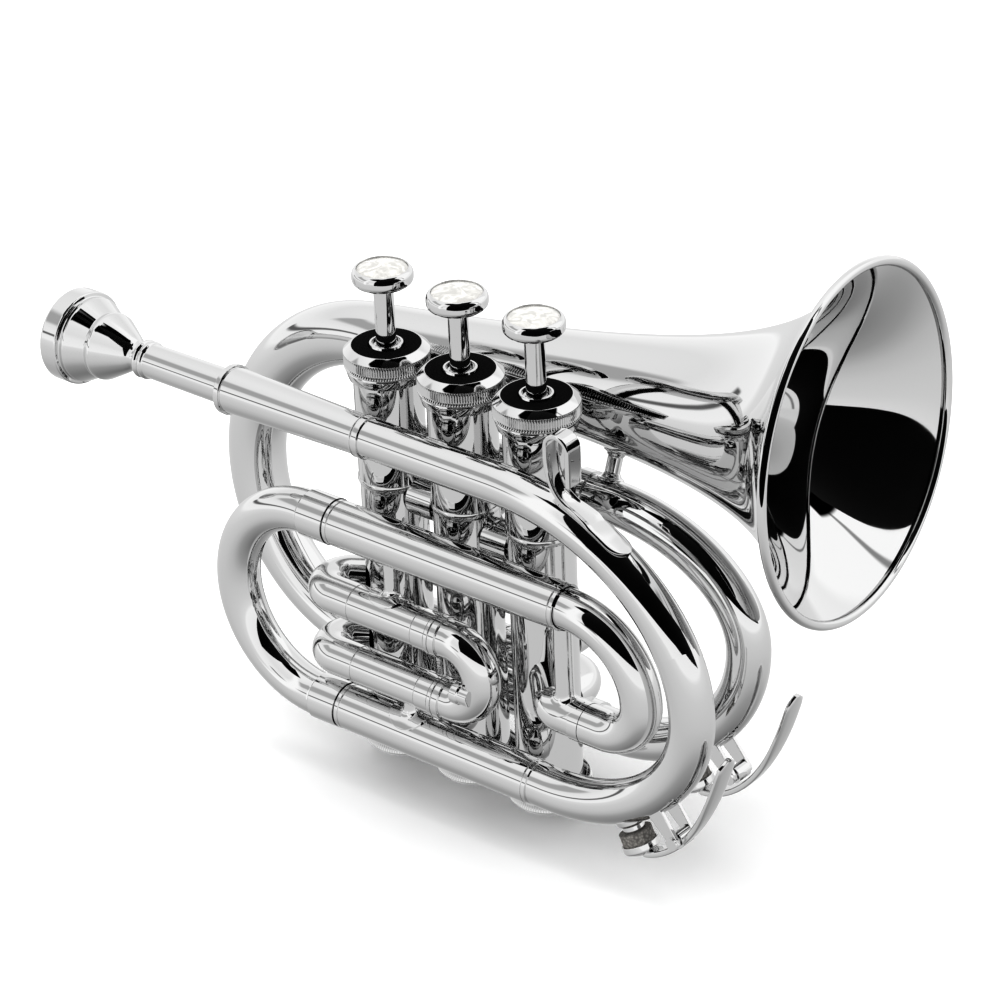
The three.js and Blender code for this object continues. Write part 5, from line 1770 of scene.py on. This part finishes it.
@dataclass
class FingerRing(Maker):
    """The ring on the third slide's crook, on a short flared foot."""

    centre_x: float = -22.0
    ring_radius: float = 11.0
    wire: float = 1.5
    foot_height: float = 2.7
    root: float = 0.6
    root_radius: float = 3.0
    cove_height: float = 1.2
    cove_radius: float = 2.2
    neck_length: float = 0.6
    neck_radius: float = 1.6
    tip_radius: float = 1.4
    wire_sides: int = 20

    def build(self) -> None:
        """Makes the ring and its foot."""
        lay = self.layout
        reach = lay.sleeve_radius + self.foot_height
        centre = Vector((self.centre_x, lay.third_y + reach + self.ring_radius, lay.third_upper_z))
        turns = [2 * math.pi * j / self.wire_sides for j in range(self.wire_sides)]
        section = [(self.wire * math.sin(turn), self.ring_radius + self.wire * math.cos(turn))
                   for turn in turns]
        self.silver(turned(section, centre, AXIS_Z, sides=96, edge=0.0), "finger_ring", Body.THIRD_SLIDE,
                    "third_slide_finger_ring")
        foot = Vector((self.centre_x, lay.third_y, lay.third_upper_z))
        skin = lay.sleeve_radius - self.root
        profile = [(skin, 0), (skin, self.root_radius), (skin + self.cove_height, self.cove_radius),
                   (reach - self.neck_length, self.neck_radius), (reach, self.tip_radius), (reach, 0)]
        self.silver(turned(profile, foot, AXIS_Y, sides=40, edge=0.5), "finger_ring_foot", Body.THIRD_SLIDE)


@dataclass
class BellBranch(Maker):
    """From the first valve to the far bow, back along the bottom, up the rear bow and out to the rim."""

    upper_z: float = 24.15
    lower_z: float = -45.7
    joint_x: float = 24.0
    tip_x: float = 77.6
    tip_z: float = -5.25
    top_reach: float = 43.8
    low_reach: float = 46.8
    leg_bend: float = 8.0
    radius: float = 5.85
    ferrule_radius: float = 6.4
    ferrule_length: float = 4.0
    rear_x: float = -47.9
    rear_run: float = 14.0
    start_radius: float = 6.1
    end_radius: float = 8.9
    growth: float = 0.55
    rim: Vector = field(default_factory=lambda: Vector((99.6, 33.9, 53.8)))
    yaw: float = math.radians(5.03)
    pitch: float = math.radians(2.53)
    rim_radius: float = 47.4
    flare_length: float = 23.0
    flare_power: float = 0.82
    bell_length: float = 143.0
    wall: float = 0.7
    bead: float = 1.3
    bow_steps: int = 72
    bell_steps: int = 90
    roll_degrees: range = range(-100, 121, 10)
    # Height and share of its radius, up a brace's flange
    flange_shares: Steps = ((0.0, 1.0), (0.55, 1.0), (0.8, 0.78))
    cove_height: float = 1.6
    # A short brace's cove takes no more than one part in this many
    cove_parts: int = 3
    cove_lip: float = 0.35
    cove_fade: float = 0.4
    post_radius: float = 2.1
    front_brace_x: float = 32.5
    front_flange: float = 3.6
    rear_brace_z: float = 49.0
    rear_flange: float = 3.4
    # How deep a brace's foot and head are let into what they join
    front_roots: Pair = (0.5, 0.6)
    rear_roots: Pair = (0.6, 0.7)

    @property
    def bow(self) -> OvalBow:
        """The far bow's centre line."""
        return OvalBow(y=self.layout.far_y, tip_x=self.tip_x, tip_z=self.tip_z, upper_z=self.upper_z,
                       lower_z=self.lower_z, top_reach=self.top_reach, low_reach=self.low_reach,
                       start_x=self.joint_x, end_x=self.joint_x)

    @property
    def axis(self) -> Vector:
        """The bell's axis, from its small end to its rim."""
        return Vector((math.cos(self.yaw) * math.cos(self.pitch), math.sin(self.yaw) * math.cos(self.pitch),
                       math.sin(self.pitch)))

    def bell_radius(self, distance: float) -> float:
        """The bell's outside radius at a distance behind its rim."""
        return self.rim_radius * (self.flare_length / (distance + self.flare_length)) ** self.flare_power

    def bell_centre(self, x: float) -> Vector:
        """The point of the bell's axis at a place along X."""
        return self.rim + self.axis * ((x - self.rim.x) / self.axis.x)

    def upper_leg(self) -> Draft:
        """Makes the leg from the first valve to the far bow's joint.

        Returns:
            The draft.
        """
        lay = self.layout
        casing = lay.valve(0, 0, self.upper_z)
        corner = lay.valve(0, lay.far_y, self.upper_z)
        path = bent_path([casing + AXIS_Y * (lay.casing_radius - lay.casing_bite), corner,
                          Vector((self.joint_x, lay.far_y, self.upper_z))], self.leg_bend)
        return swept(path, stepped(path.length, self.radius), self.radius - lay.tube_wall)

    def far_bow(self) -> Draft:
        """Makes the far bow with a ferrule at each end.

        Returns:
            The draft.
        """
        lay = self.layout
        path = self.bow.path()
        end = path.length
        wide = self.ferrule_radius
        bands = [(0.0, self.ferrule_length, wide), (end - self.ferrule_length, end, wide)]
        return swept(path, stepped(end, self.radius, bands), self.radius - lay.tube_wall, sides=72)

    def rear_path(self) -> Path:
        """The path of the bottom leg and the rear bow up to the bell.

        Returns:
            The path, from the far bow's joint.
        """
        top = self.rim - self.axis * self.bell_length
        y = self.layout.far_y
        bottom = Vector((self.rear_x, y, self.lower_z))
        rise = (top.z - bottom.z) / 2
        drift = top - bottom
        points = [Vector((self.joint_x, y, self.lower_z)),
                  Vector((self.rear_x + self.rear_run, y, self.lower_z))]
        tangents = [-AXIS_X, -AXIS_X]
        for k in range(self.bow_steps + 1):
            share = k / self.bow_steps
            turn = math.pi * share
            swing = (1 - math.cos(turn)) / 2
            points.append(Vector((bottom.x + drift.x * share * share - rise * math.sin(turn),
                                  y + drift.y * swing, bottom.z + drift.z * swing)))
            tangents.append(Vector((2 * drift.x * share / math.pi - rise * math.cos(turn),
                                    drift.y * math.sin(turn) / 2, rise * math.sin(turn))).normalized())
        tangents[-1] = self.axis
        return Path(points, tangents)

    def rear_bow(self) -> Draft:
        """Makes the tapered rear bow.

        Returns:
            The draft.
        """
        path = self.rear_path()
        start = path.lengths[1]
        outline = [(0.0, self.ferrule_radius), (self.ferrule_length, self.ferrule_radius),
                   (self.ferrule_length, self.start_radius), (start, self.start_radius)]
        widening = self.end_radius - self.start_radius
        for length in path.lengths[2:]:
            share = (length - start) / (path.length - start)
            outline.append((length, self.start_radius + widening * share ** self.growth))
        bore = [(length, radius - self.wall) for length, radius in outline[3:]]
        bore.insert(0, (0.0, self.start_radius - self.wall))
        outside = along(path, outline, 72)
        inside = along(path, bore, 72)
        return Draft().skin(outside + inside[::-1], closed=True)

    def bell(self) -> Draft:
        """Makes the bell: a spun flare with its rim rolled round a wire.

        Returns:
            The draft.
        """
        count = self.bell_steps
        distances = [self.bell_length * (k / count) ** 2 for k in range(count + 1)]
        outside = [(-d, self.bell_radius(d)) for d in distances]
        inside = [(x, radius - self.wall) for x, radius in outside]
        turns = [math.radians(angle) for angle in self.roll_degrees]
        roll = [(self.bead * math.cos(turn), self.rim_radius + self.bead * (math.sin(turn) - 1))
                for turn in turns]
        profile = [*inside[1:][::-1], *roll, *outside[2:]]
        return turned(profile, self.rim, self.axis, sides=192, edge=0.0)

    def brace(self, foot: Vector, head: Vector, flange: float) -> Draft:
        """Makes a post with a coved flange at each end.

        Args:
            foot: where it starts, just inside what carries it.
            head: where it ends.
            flange: the flanges' radius.

        Returns:
            The draft.
        """
        length = (head - foot).length
        post = self.post_radius
        cove = min(self.cove_height, length / self.cove_parts)
        ends = [(height, flange * share) for height, share in self.flange_shares]
        ends += [(cove, post + self.cove_lip), (cove + self.cove_fade, post)]
        mirrored = [(length - distance, radius) for distance, radius in reversed(ends)]
        profile = [(0.0, 0), *ends, *mirrored, (length, 0)]
        return turned(profile, foot, (head - foot).normalized(), sides=48, edge=0.3)

    def build(self) -> None:
        """Makes the branch, its water key and the bell's braces."""
        lay = self.layout
        self.silver(self.upper_leg(), "first_valve_to_far_bow_leg", Body.HORN, "bell_branch_leg")
        self.silver(self.far_bow(), "far_front_bow", Body.HORN, "far_bow")
        self.silver(self.rear_bow(), "tapered_rear_bow", Body.HORN, "bell_bow")
        self.silver(self.bell(), "spun_bell", Body.HORN, "bell", "bell_stem")
        foot_root, head_root = self.front_roots
        leg = Vector((self.front_brace_x, lay.far_y, self.upper_z))
        towards = self.bell_centre(self.front_brace_x) - leg
        reach = towards.length
        towards.normalize()
        foot = leg + towards * (self.radius - foot_root)
        head = leg + towards * (reach - self.bell_radius(self.rim.x - self.front_brace_x) + head_root)
        self.silver(self.brace(foot, head, self.front_flange), "bell_front_brace_post", Body.HORN,
                    "bell_front_brace")
        foot_root, head_root = self.rear_roots
        foot = lay.valve(1, lay.casing_radius - foot_root, self.rear_brace_z)
        bell_skin = self.bell_centre(0.0).y - self.bell_radius(self.rim.x)
        head = Vector((0.0, bell_skin + head_root, self.rear_brace_z))
        self.silver(self.brace(foot, head, self.rear_flange), "bell_rear_brace_post", Body.HORN,
                    "bell_rear_brace")
        WaterKey(lay, self.finishes, bow=self.bow, tube_radius=self.radius, body=Body.FAR_KEY, prefix="far",
                 bend_offset=14.5, tip_offset=9.8).build()


@dataclass
class NearBraces(Maker):
    """The upright braces between the near tubes, each with a flange fitted to the tube below it."""

    post_radius: float = 2.1
    entry_post_radius: float = 2.5
    flange_radius: float = 6.2
    upper_x: float = -13.5
    lower_x: float = -6.8
    entry_x: float = 45.8
    # How far the upper post stands behind the tubes' middle
    upper_aside: float = 2.2
    sides: int = 64
    # Shares of the flange's radius under it, from its middle out, and their height over the tube's skin
    under_shares: tuple[float, ...] = (0.08, 0.35, 0.7, 1.0)
    under_lift: float = -0.15
    # Distance in from the flange's edge and height over the tube, round the edge
    edge_steps: Steps = ((0.0, 0.35), (0.15, 0.5), (0.35, 0.5))
    face_shares: tuple[float, ...] = (0.85, 0.7, 0.58)
    face_lift: float = 0.5
    # Distance out from the post and height over the tube: on the flange's face, then up the cove
    foot_steps: Steps = ((1.2, 0.5), (1.0, 0.53))
    cove_steps: Steps = ((0.5, 0.8), (0.15, 1.4), (0.0, 2.2))
    crown_root: float = 0.2

    def post(self, x: float, top_z: float, top_radius: float, low_z: float, low_radius: float,
             post: float, aside: float = 0.0) -> Draft:
        """Makes an upright post with a thin saddle flange wrapped over the lower tube.

        Args:
            x: its place along the tubes.
            top_z: height of the upper tube's axis.
            top_radius: the upper tube's radius.
            low_z: height of the lower tube's axis.
            low_radius: the lower tube's radius.
            post: the post's radius.
            aside: its distance behind the tubes' middle.

        Returns:
            The draft.
        """
        y = self.layout.near_y
        flange = self.flange_radius
        wrapped = [(flange * share, self.under_lift) for share in self.under_shares]
        wrapped += [(flange - inward, lift) for inward, lift in self.edge_steps]
        wrapped += [(flange * share, self.face_lift) for share in self.face_shares]
        wrapped += [(post + outward, lift) for outward, lift in self.foot_steps]
        upright = [(post + outward, lift) for outward, lift in self.cove_steps]
        turns = [2 * math.pi * j / self.sides for j in range(self.sides)]
        rings = []
        for reach, lift in wrapped:
            ring = []
            for angle in turns:
                round_tube = (aside + reach * math.sin(angle)) / low_radius
                out = low_radius + lift
                ring.append(Vector((x + reach * math.cos(angle), y + out * math.sin(round_tube),
                                    low_z + out * math.cos(round_tube))))
            rings.append(ring)
        for reach, lift in upright:
            ring = []
            for angle in turns:
                side = aside + reach * math.sin(angle)
                surface = low_z + math.sqrt(low_radius ** 2 - side ** 2)
                ring.append(Vector((x + reach * math.cos(angle), y + side, surface + lift)))
            rings.append(ring)
        crown = []
        for angle in turns:
            side = aside + post * math.sin(angle)
            surface = top_z - math.sqrt(top_radius ** 2 - side ** 2)
            crown.append(Vector((x + post * math.cos(angle), y + side, surface + self.crown_root)))
        rings.append(crown)
        return Draft().skin(rings)

    def build(self) -> None:
        """Makes the three near braces."""
        lay = self.layout
        slide = lay.slide_tube_radius
        sleeve = lay.sleeve_radius
        upper = self.post(self.upper_x, lay.upper_slide_z, slide, lay.first_upper_z, sleeve,
                          self.post_radius, self.upper_aside)
        self.silver(upper, "first_slide_upper_post", Body.HORN, "first_slide_upper_brace")
        lower = self.post(self.lower_x, lay.first_lower_z, sleeve, lay.lower_slide_z, slide,
                          self.post_radius)
        self.silver(lower, "first_slide_lower_post", Body.HORN, "first_slide_lower_brace")
        entry = self.post(self.entry_x, lay.upper_slide_z, slide, lay.entry_z, lay.entry_radius,
                          self.entry_post_radius)
        self.silver(entry, "entry_post", Body.HORN, "entry_brace")


@dataclass
class FingerHook(Maker):
    """The little finger's hook: a strip saddled on the front bow, folded up, over and down again."""

    place_y: float = -18.8
    saddle_width: float = 7.6
    curl_width: float = 5.4
    thickness: float = 1.4
    end_angle: float = math.radians(50)
    neck_angle: float = math.radians(67.5)
    back_x: float = 43.9
    front_x: float = 52.1
    top_z: float = 64.0
    tip_z: float = 50.5
    heel_share: float = 0.28
    seat_gap: float = 0.05
    saddle_steps: int = 26
    fold_steps: int = 16
    curl_steps: int = 24
    tip_steps: int = 6
    # How far behind the back and below the heel the fold's curve is pulled
    fold_pull: Pair = (0.6, 1.2)
    # The strip's end is rounded over this share of its length
    end_share: float = 0.1
    end_power: float = 2.2
    end_least: float = 0.03
    # Past this share of the bow the strip flattens, to this radius of saddle
    flatten_share: float = 0.6
    flat_radius: float = 60.0
    edge_round: float = 0.75

    def build(self) -> None:
        """Makes the hook's strip."""
        lay = self.layout
        base = lay.leadpipe_radius + self.thickness / 2 + self.seat_gap
        y = self.place_y
        points = []
        for k in range(self.saddle_steps + 1):
            angle = self.end_angle + (self.neck_angle - self.end_angle) * k / self.saddle_steps
            place = lay.front_bow.at(angle, base)
            points.append(Vector((place.x, y, place.z)))
        neck = points[-1]
        curl = (self.front_x - self.back_x - self.thickness) / 2
        curl_x = self.back_x + self.thickness / 2 + curl
        curl_z = self.top_z - self.thickness / 2 - curl
        back = Vector((curl_x - curl, y, curl_z))
        heel_z = neck.z + (curl_z - neck.z) * self.heel_share
        behind, below = self.fold_pull
        fold = Vector((back.x - behind, y, heel_z - below))
        for k in range(1, self.fold_steps + 1):
            t = k / self.fold_steps
            points.append(neck * (1 - t) ** 2 + fold * (2 * t * (1 - t)) + back * t ** 2)
        for k in range(1, self.curl_steps + 1):
            angle = math.pi - math.pi * k / self.curl_steps
            points.append(Vector((curl_x + curl * math.cos(angle), y, curl_z + curl * math.sin(angle))))
        for k in range(1, self.tip_steps + 1):
            points.append(Vector((curl_x + curl, y, curl_z + (self.tip_z - curl_z) * k / self.tip_steps)))
        tangents = [(points[min(i + 1, len(points) - 1)] - points[max(i - 1, 0)]).normalized()
                    for i in range(len(points))]
        outward = lay.front_bow.outward(self.end_angle)
        path = Path(points, tangents, outward)
        saddle_share = path.lengths[self.saddle_steps] / path.length

        def section(share: float) -> Section:
            """Wide and saddled along the bow with a rounded end, narrow and flat in the curl.

            Args:
                share: share of the length.

            Returns:
                Width, thickness, dish and saddle radius.
            """
            along_saddle = min(1.0, share / saddle_share)
            ease = along_saddle ** 2
            width = self.saddle_width + (self.curl_width - self.saddle_width) * ease
            end = max(0.0, 1 - share / self.end_share)
            width *= math.sqrt(max(self.end_least, 1 - end ** self.end_power))
            flat = max(0.0, along_saddle - self.flatten_share) / (1 - self.flatten_share)
            saddle = base + (self.flat_radius - base) * flat
            return width, self.thickness, self.edge_round * (1 - end) ** 0.5, saddle

        self.silver(ribbon(path, section, points=56), "little_finger_hook", Body.HORN, "finger_hook")


# The studio
@dataclass
class PhotoCamera:
    """The photograph's camera, by its angles, its focal length and where it sees a known point."""

    azimuth: float = math.radians(40.469)
    elevation: float = math.radians(28.423)
    roll: float = math.radians(-2.385)
    focal_px: float = 3985.0
    distance: float = 1017.7
    known_point: Vector = field(default_factory=lambda: Vector((0, 0, 60.0)))
    known_px: Pair = (460.311, 367.970)
    picture_px: float = 1000.0
    sensor: float = 36.0
    # Nearest and farthest distance seen, in metres
    clip: Pair = (0.05, 20.0)

    def build(self) -> None:
        """Makes the camera and sets it as the scene's."""
        a, e = self.azimuth, self.elevation
        back = Vector((math.sin(a) * math.cos(e), -math.cos(a) * math.cos(e), math.sin(e)))
        level = Vector((math.cos(a), math.sin(a), 0))
        upright = back.cross(level)
        c, s = math.cos(self.roll), math.sin(self.roll)
        right = level * c + upright * s
        up = upright * c - level * s
        half = self.picture_px / 2
        across = (self.known_px[0] - half) / self.focal_px * self.distance
        down = (self.known_px[1] - half) / self.focal_px * self.distance
        place = self.known_point + back * self.distance - right * across + up * down
        data = bpy.data.cameras.new("photo_camera")
        data.sensor_width = self.sensor
        data.lens = self.focal_px * self.sensor / self.picture_px
        data.clip_start, data.clip_end = self.clip
        camera = bpy.data.objects.new("photo_camera", data)
        turn = Matrix((right, up, back)).transposed().to_4x4()
        camera.matrix_world = Matrix.Translation(place * MM) @ turn
        bpy.context.scene.collection.objects.link(camera)
        bpy.context.scene.camera = camera


@dataclass(frozen=True)
class Flag:
    """A patch of the studio's surround, by its middle and half size in degrees, with its brightness."""

    azimuth: float
    elevation: float
    half_width: float
    half_height: float
    level: float
    soft: float = 2.0


@dataclass
class Studio:
    """A white tent, open and dark in front, over a white floor, with one soft light above."""

    floor_z: float = -64.0
    floor_size: float = 6000.0
    diffuse_level: float = 1.75
    # Under one it deepens the middle tones, as the photograph's print does
    print_gamma: float = 0.65
    # Brightness of the tent from straight below to straight above, as share of the way and level
    band_shares: Steps = (
        (0.0, 0.4), (0.19, 0.7), (0.27, 0.95), (0.34, 1.07), (0.42, 1.14), (0.48, 1.25),
        (0.5, 1.45), (0.6, 1.4), (0.66, 1.3), (0.76, 1.35), (0.85, 1.45), (1.0, 1.45))
    flags: tuple[Flag, ...] = (
        Flag(-140.0, 36.0, 24.0, 8.0, 0.8, 3.0),
        Flag(-140.0, 10.0, 40.0, 1.8, 0.32, 1.2),
        Flag(50.0, 40.0, 32.0, 26.0, 1.55, 4.0),
        Flag(35.0, 40.0, 1.6, 26.0, 0.6, 1.0),
        Flag(-115.0, 30.0, 5.0, 42.0, 1.55, 3.0),
        Flag(-40.0, 71.0, 90.0, 11.0, 0.0, 1.5),
    )
    opening_left: Vector = field(default_factory=lambda: Vector((9.0, -180.0, 46.0)))
    opening_right: Vector = field(default_factory=lambda: Vector((420.0, 170.0, 22.0)))
    opening_height: float = 900.0
    # The key light's width and place in metres, and its power in watts
    key_size: float = 0.6
    key_place: Vector = field(default_factory=lambda: Vector((-0.18, 0.1, 1.3)))
    key_power: float = 3.0

    def sheet(self, name: str, corners: list[Vector], material: Material) -> Object:
        """Makes a flat sheet of the studio.

        Args:
            name: the object's name.
            corners: its corners in order, in millimetres.
            material: its material.

        Returns:
            The sheet, linked to the scene.
        """
        mesh = bpy.data.meshes.new(name)
        mesh.from_pydata([tuple(c * MM) for c in corners], [], [tuple(range(len(corners)))])
        sheet = bpy.data.objects.new(name, mesh)
        sheet.data.materials.append(material)
        bpy.context.scene.collection.objects.link(sheet)
        return sheet

    def floor(self, paper: Material) -> None:
        """Makes the floor, which the mirrors see as part of the surround.

        Args:
            paper: the floor's material.
        """
        half = self.floor_size / 2
        signs = ((-1, -1), (1, -1), (1, 1), (-1, 1))
        corners = [Vector((x * half, y * half, self.floor_z)) for x, y in signs]
        self.sheet("studio_floor", corners, paper).visible_glossy = False

    def opening(self, cloth: Material) -> None:
        """Makes the tent's dark front, which only the mirrors see.

        Args:
            cloth: the front's material.
        """
        rise = AXIS_Z * self.opening_height
        left, right = self.opening_left, self.opening_right
        cloth_sheet = self.sheet("tent_opening", [left, right, right + rise, left + rise], cloth)
        cloth_sheet.visible_camera = False
        cloth_sheet.visible_diffuse = False
        cloth_sheet.visible_transmission = False
        cloth_sheet.visible_shadow = False

    def sky(self) -> None:
        """Makes the surround: even for matt things, and banded with its flags for mirrors."""
        world = bpy.data.worlds.new("studio_surround")
        bpy.context.scene.world = world
        world.use_nodes = True
        tree = world.node_tree
        tree.nodes.clear()
        ray = add_node(tree, "ShaderNodeTexCoord").outputs["Generated"]
        parts = add_node(tree, "ShaderNodeSeparateXYZ", {}, {0: ray})

        def maths(operation: str, first: float | NodeSocket,
                  second: float | NodeSocket = 0.0) -> NodeSocket:
            """One sum in the surround's node tree."""
            node = add_node(tree, "ShaderNodeMath", {"operation": operation}, {0: first, 1: second})
            return node.outputs[0]

        heading = maths("MULTIPLY", maths("ARCTAN2", parts.outputs[1], parts.outputs[0]), 180 / math.pi)
        height = maths("MULTIPLY", maths("ARCSINE", parts.outputs[2]), 180 / math.pi)
        share = add_node(tree, "ShaderNodeMapRange", {},
                         {"Value": height, "From Min": -90.0, "From Max": 90.0})
        band = add_node(tree, "ShaderNodeValToRGB", {}, {"Fac": share.outputs[0]})
        stops = band.color_ramp.elements
        for place, brightness in self.band_shares[1:-1]:
            stops.new(place).color = (brightness, brightness, brightness, 1.0)
        for stop, (_, brightness) in ((stops[0], self.band_shares[0]), (stops[-1], self.band_shares[-1])):
            stop.color = (brightness, brightness, brightness, 1.0)
        level: NodeSocket = band.outputs["Color"]
        for flag in self.flags:
            turned_by = add_node(tree, "ShaderNodeMath", {"operation": "WRAP"}, {
                0: maths("SUBTRACT", heading, flag.azimuth), 1: 180.0, 2: -180.0})
            aside = maths("ABSOLUTE", turned_by.outputs[0])
            above = maths("ABSOLUTE", maths("SUBTRACT", height, flag.elevation))
            masks = []
            for offset, half in ((aside, flag.half_width), (above, flag.half_height)):
                mask = add_node(tree, "ShaderNodeMapRange", {"interpolation_type": "SMOOTHSTEP"}, {
                    "Value": offset, "From Min": half - flag.soft, "From Max": half + flag.soft,
                    "To Min": 1.0, "To Max": 0.0})
                masks.append(mask.outputs[0])
            inside = maths("MULTIPLY", masks[0], masks[1])
            keep = maths("SUBTRACT", 1.0, inside)
            level = maths("ADD", maths("MULTIPLY", level, keep), maths("MULTIPLY", inside, flag.level))
        lit = add_node(tree, "ShaderNodeBackground", {}, {"Strength": level})
        plain = add_node(tree, "ShaderNodeBackground", {}, {"Strength": self.diffuse_level})
        path = add_node(tree, "ShaderNodeLightPath")
        mix = add_node(tree, "ShaderNodeMixShader", {}, {0: path.outputs["Is Glossy Ray"],
                                                         1: plain.outputs[0], 2: lit.outputs[0]})
        add_node(tree, "ShaderNodeOutputWorld", {}, {0: mix.outputs[0]})

    def key_light(self) -> None:
        """Makes the soft light above, a little behind and to the mouthpiece's side."""
        data = bpy.data.lights.new("key_light", "AREA")
        data.shape = "DISK"
        data.size = self.key_size
        data.energy = self.key_power
        lamp = bpy.data.objects.new("key_light", data)
        lamp.location = self.key_place
        lamp.rotation_euler = (-lamp.location).to_track_quat("-Z", "Y").to_euler()
        lamp.visible_glossy = False
        bpy.context.scene.collection.objects.link(lamp)

    def build(self, finishes: Finishes) -> None:
        """Makes the studio.

        Args:
            finishes: the finishes.
        """
        self.floor(finishes.paper)
        self.opening(finishes.cloth)
        self.sky()
        self.key_light()
        view = bpy.context.scene.view_settings
        view.view_transform = "Standard"
        view.gamma = self.print_gamma


def main() -> None:
    """Builds the camera, the trumpet and the studio."""
    logging.basicConfig(level=logging.INFO, format="%(message)s")
    PhotoCamera().build()
    layout = Layout()
    finishes = Finishes()
    near = Vector((0.0, layout.near_y, 0.0))
    far = Vector((0.0, layout.third_y, 0.0))
    for assembly in (
        Mouthpiece(layout, finishes),
        NearTubing(layout, finishes),
        ValveBlock(layout, finishes),
        ValveSlide(layout, finishes, upper_z=layout.first_upper_z, lower_z=layout.first_lower_z, plane=near,
                   corner=Vector((-51.0, near.y, 0)), elbow_bend=6.0, leg_reach=27.7, ferrule_length=3.4,
                   sleeve_ring=4.4, elbow_seam=26.5, stub=5.6),
        ValveSlide(layout, finishes, order="second", index=1, body=Body.SECOND_SLIDE, upper_z=12.3,
                   lower_z=-3.9, direction=AXIS_Y.copy(), sleeve_end=20.0, bow_start=26.5, leg_reach=9.5,
                   crook_radius=5.1, knob=4.4),
        ValveSlide(layout, finishes, order="third", index=2, body=Body.THIRD_SLIDE,
                   upper_z=layout.third_upper_z, lower_z=-32.6, corner=layout.valve(2, far.y),
                   direction=-AXIS_X, plane=far, sleeve_end=4.0, bow_start=34.0, leg_reach=18.0),
        FingerRing(layout, finishes),
        BellBranch(layout, finishes),
        NearBraces(layout, finishes),
        FingerHook(layout, finishes),
    ):
        assembly.build()
    Studio().build(finishes)


if __name__ == "__main__":
    main()
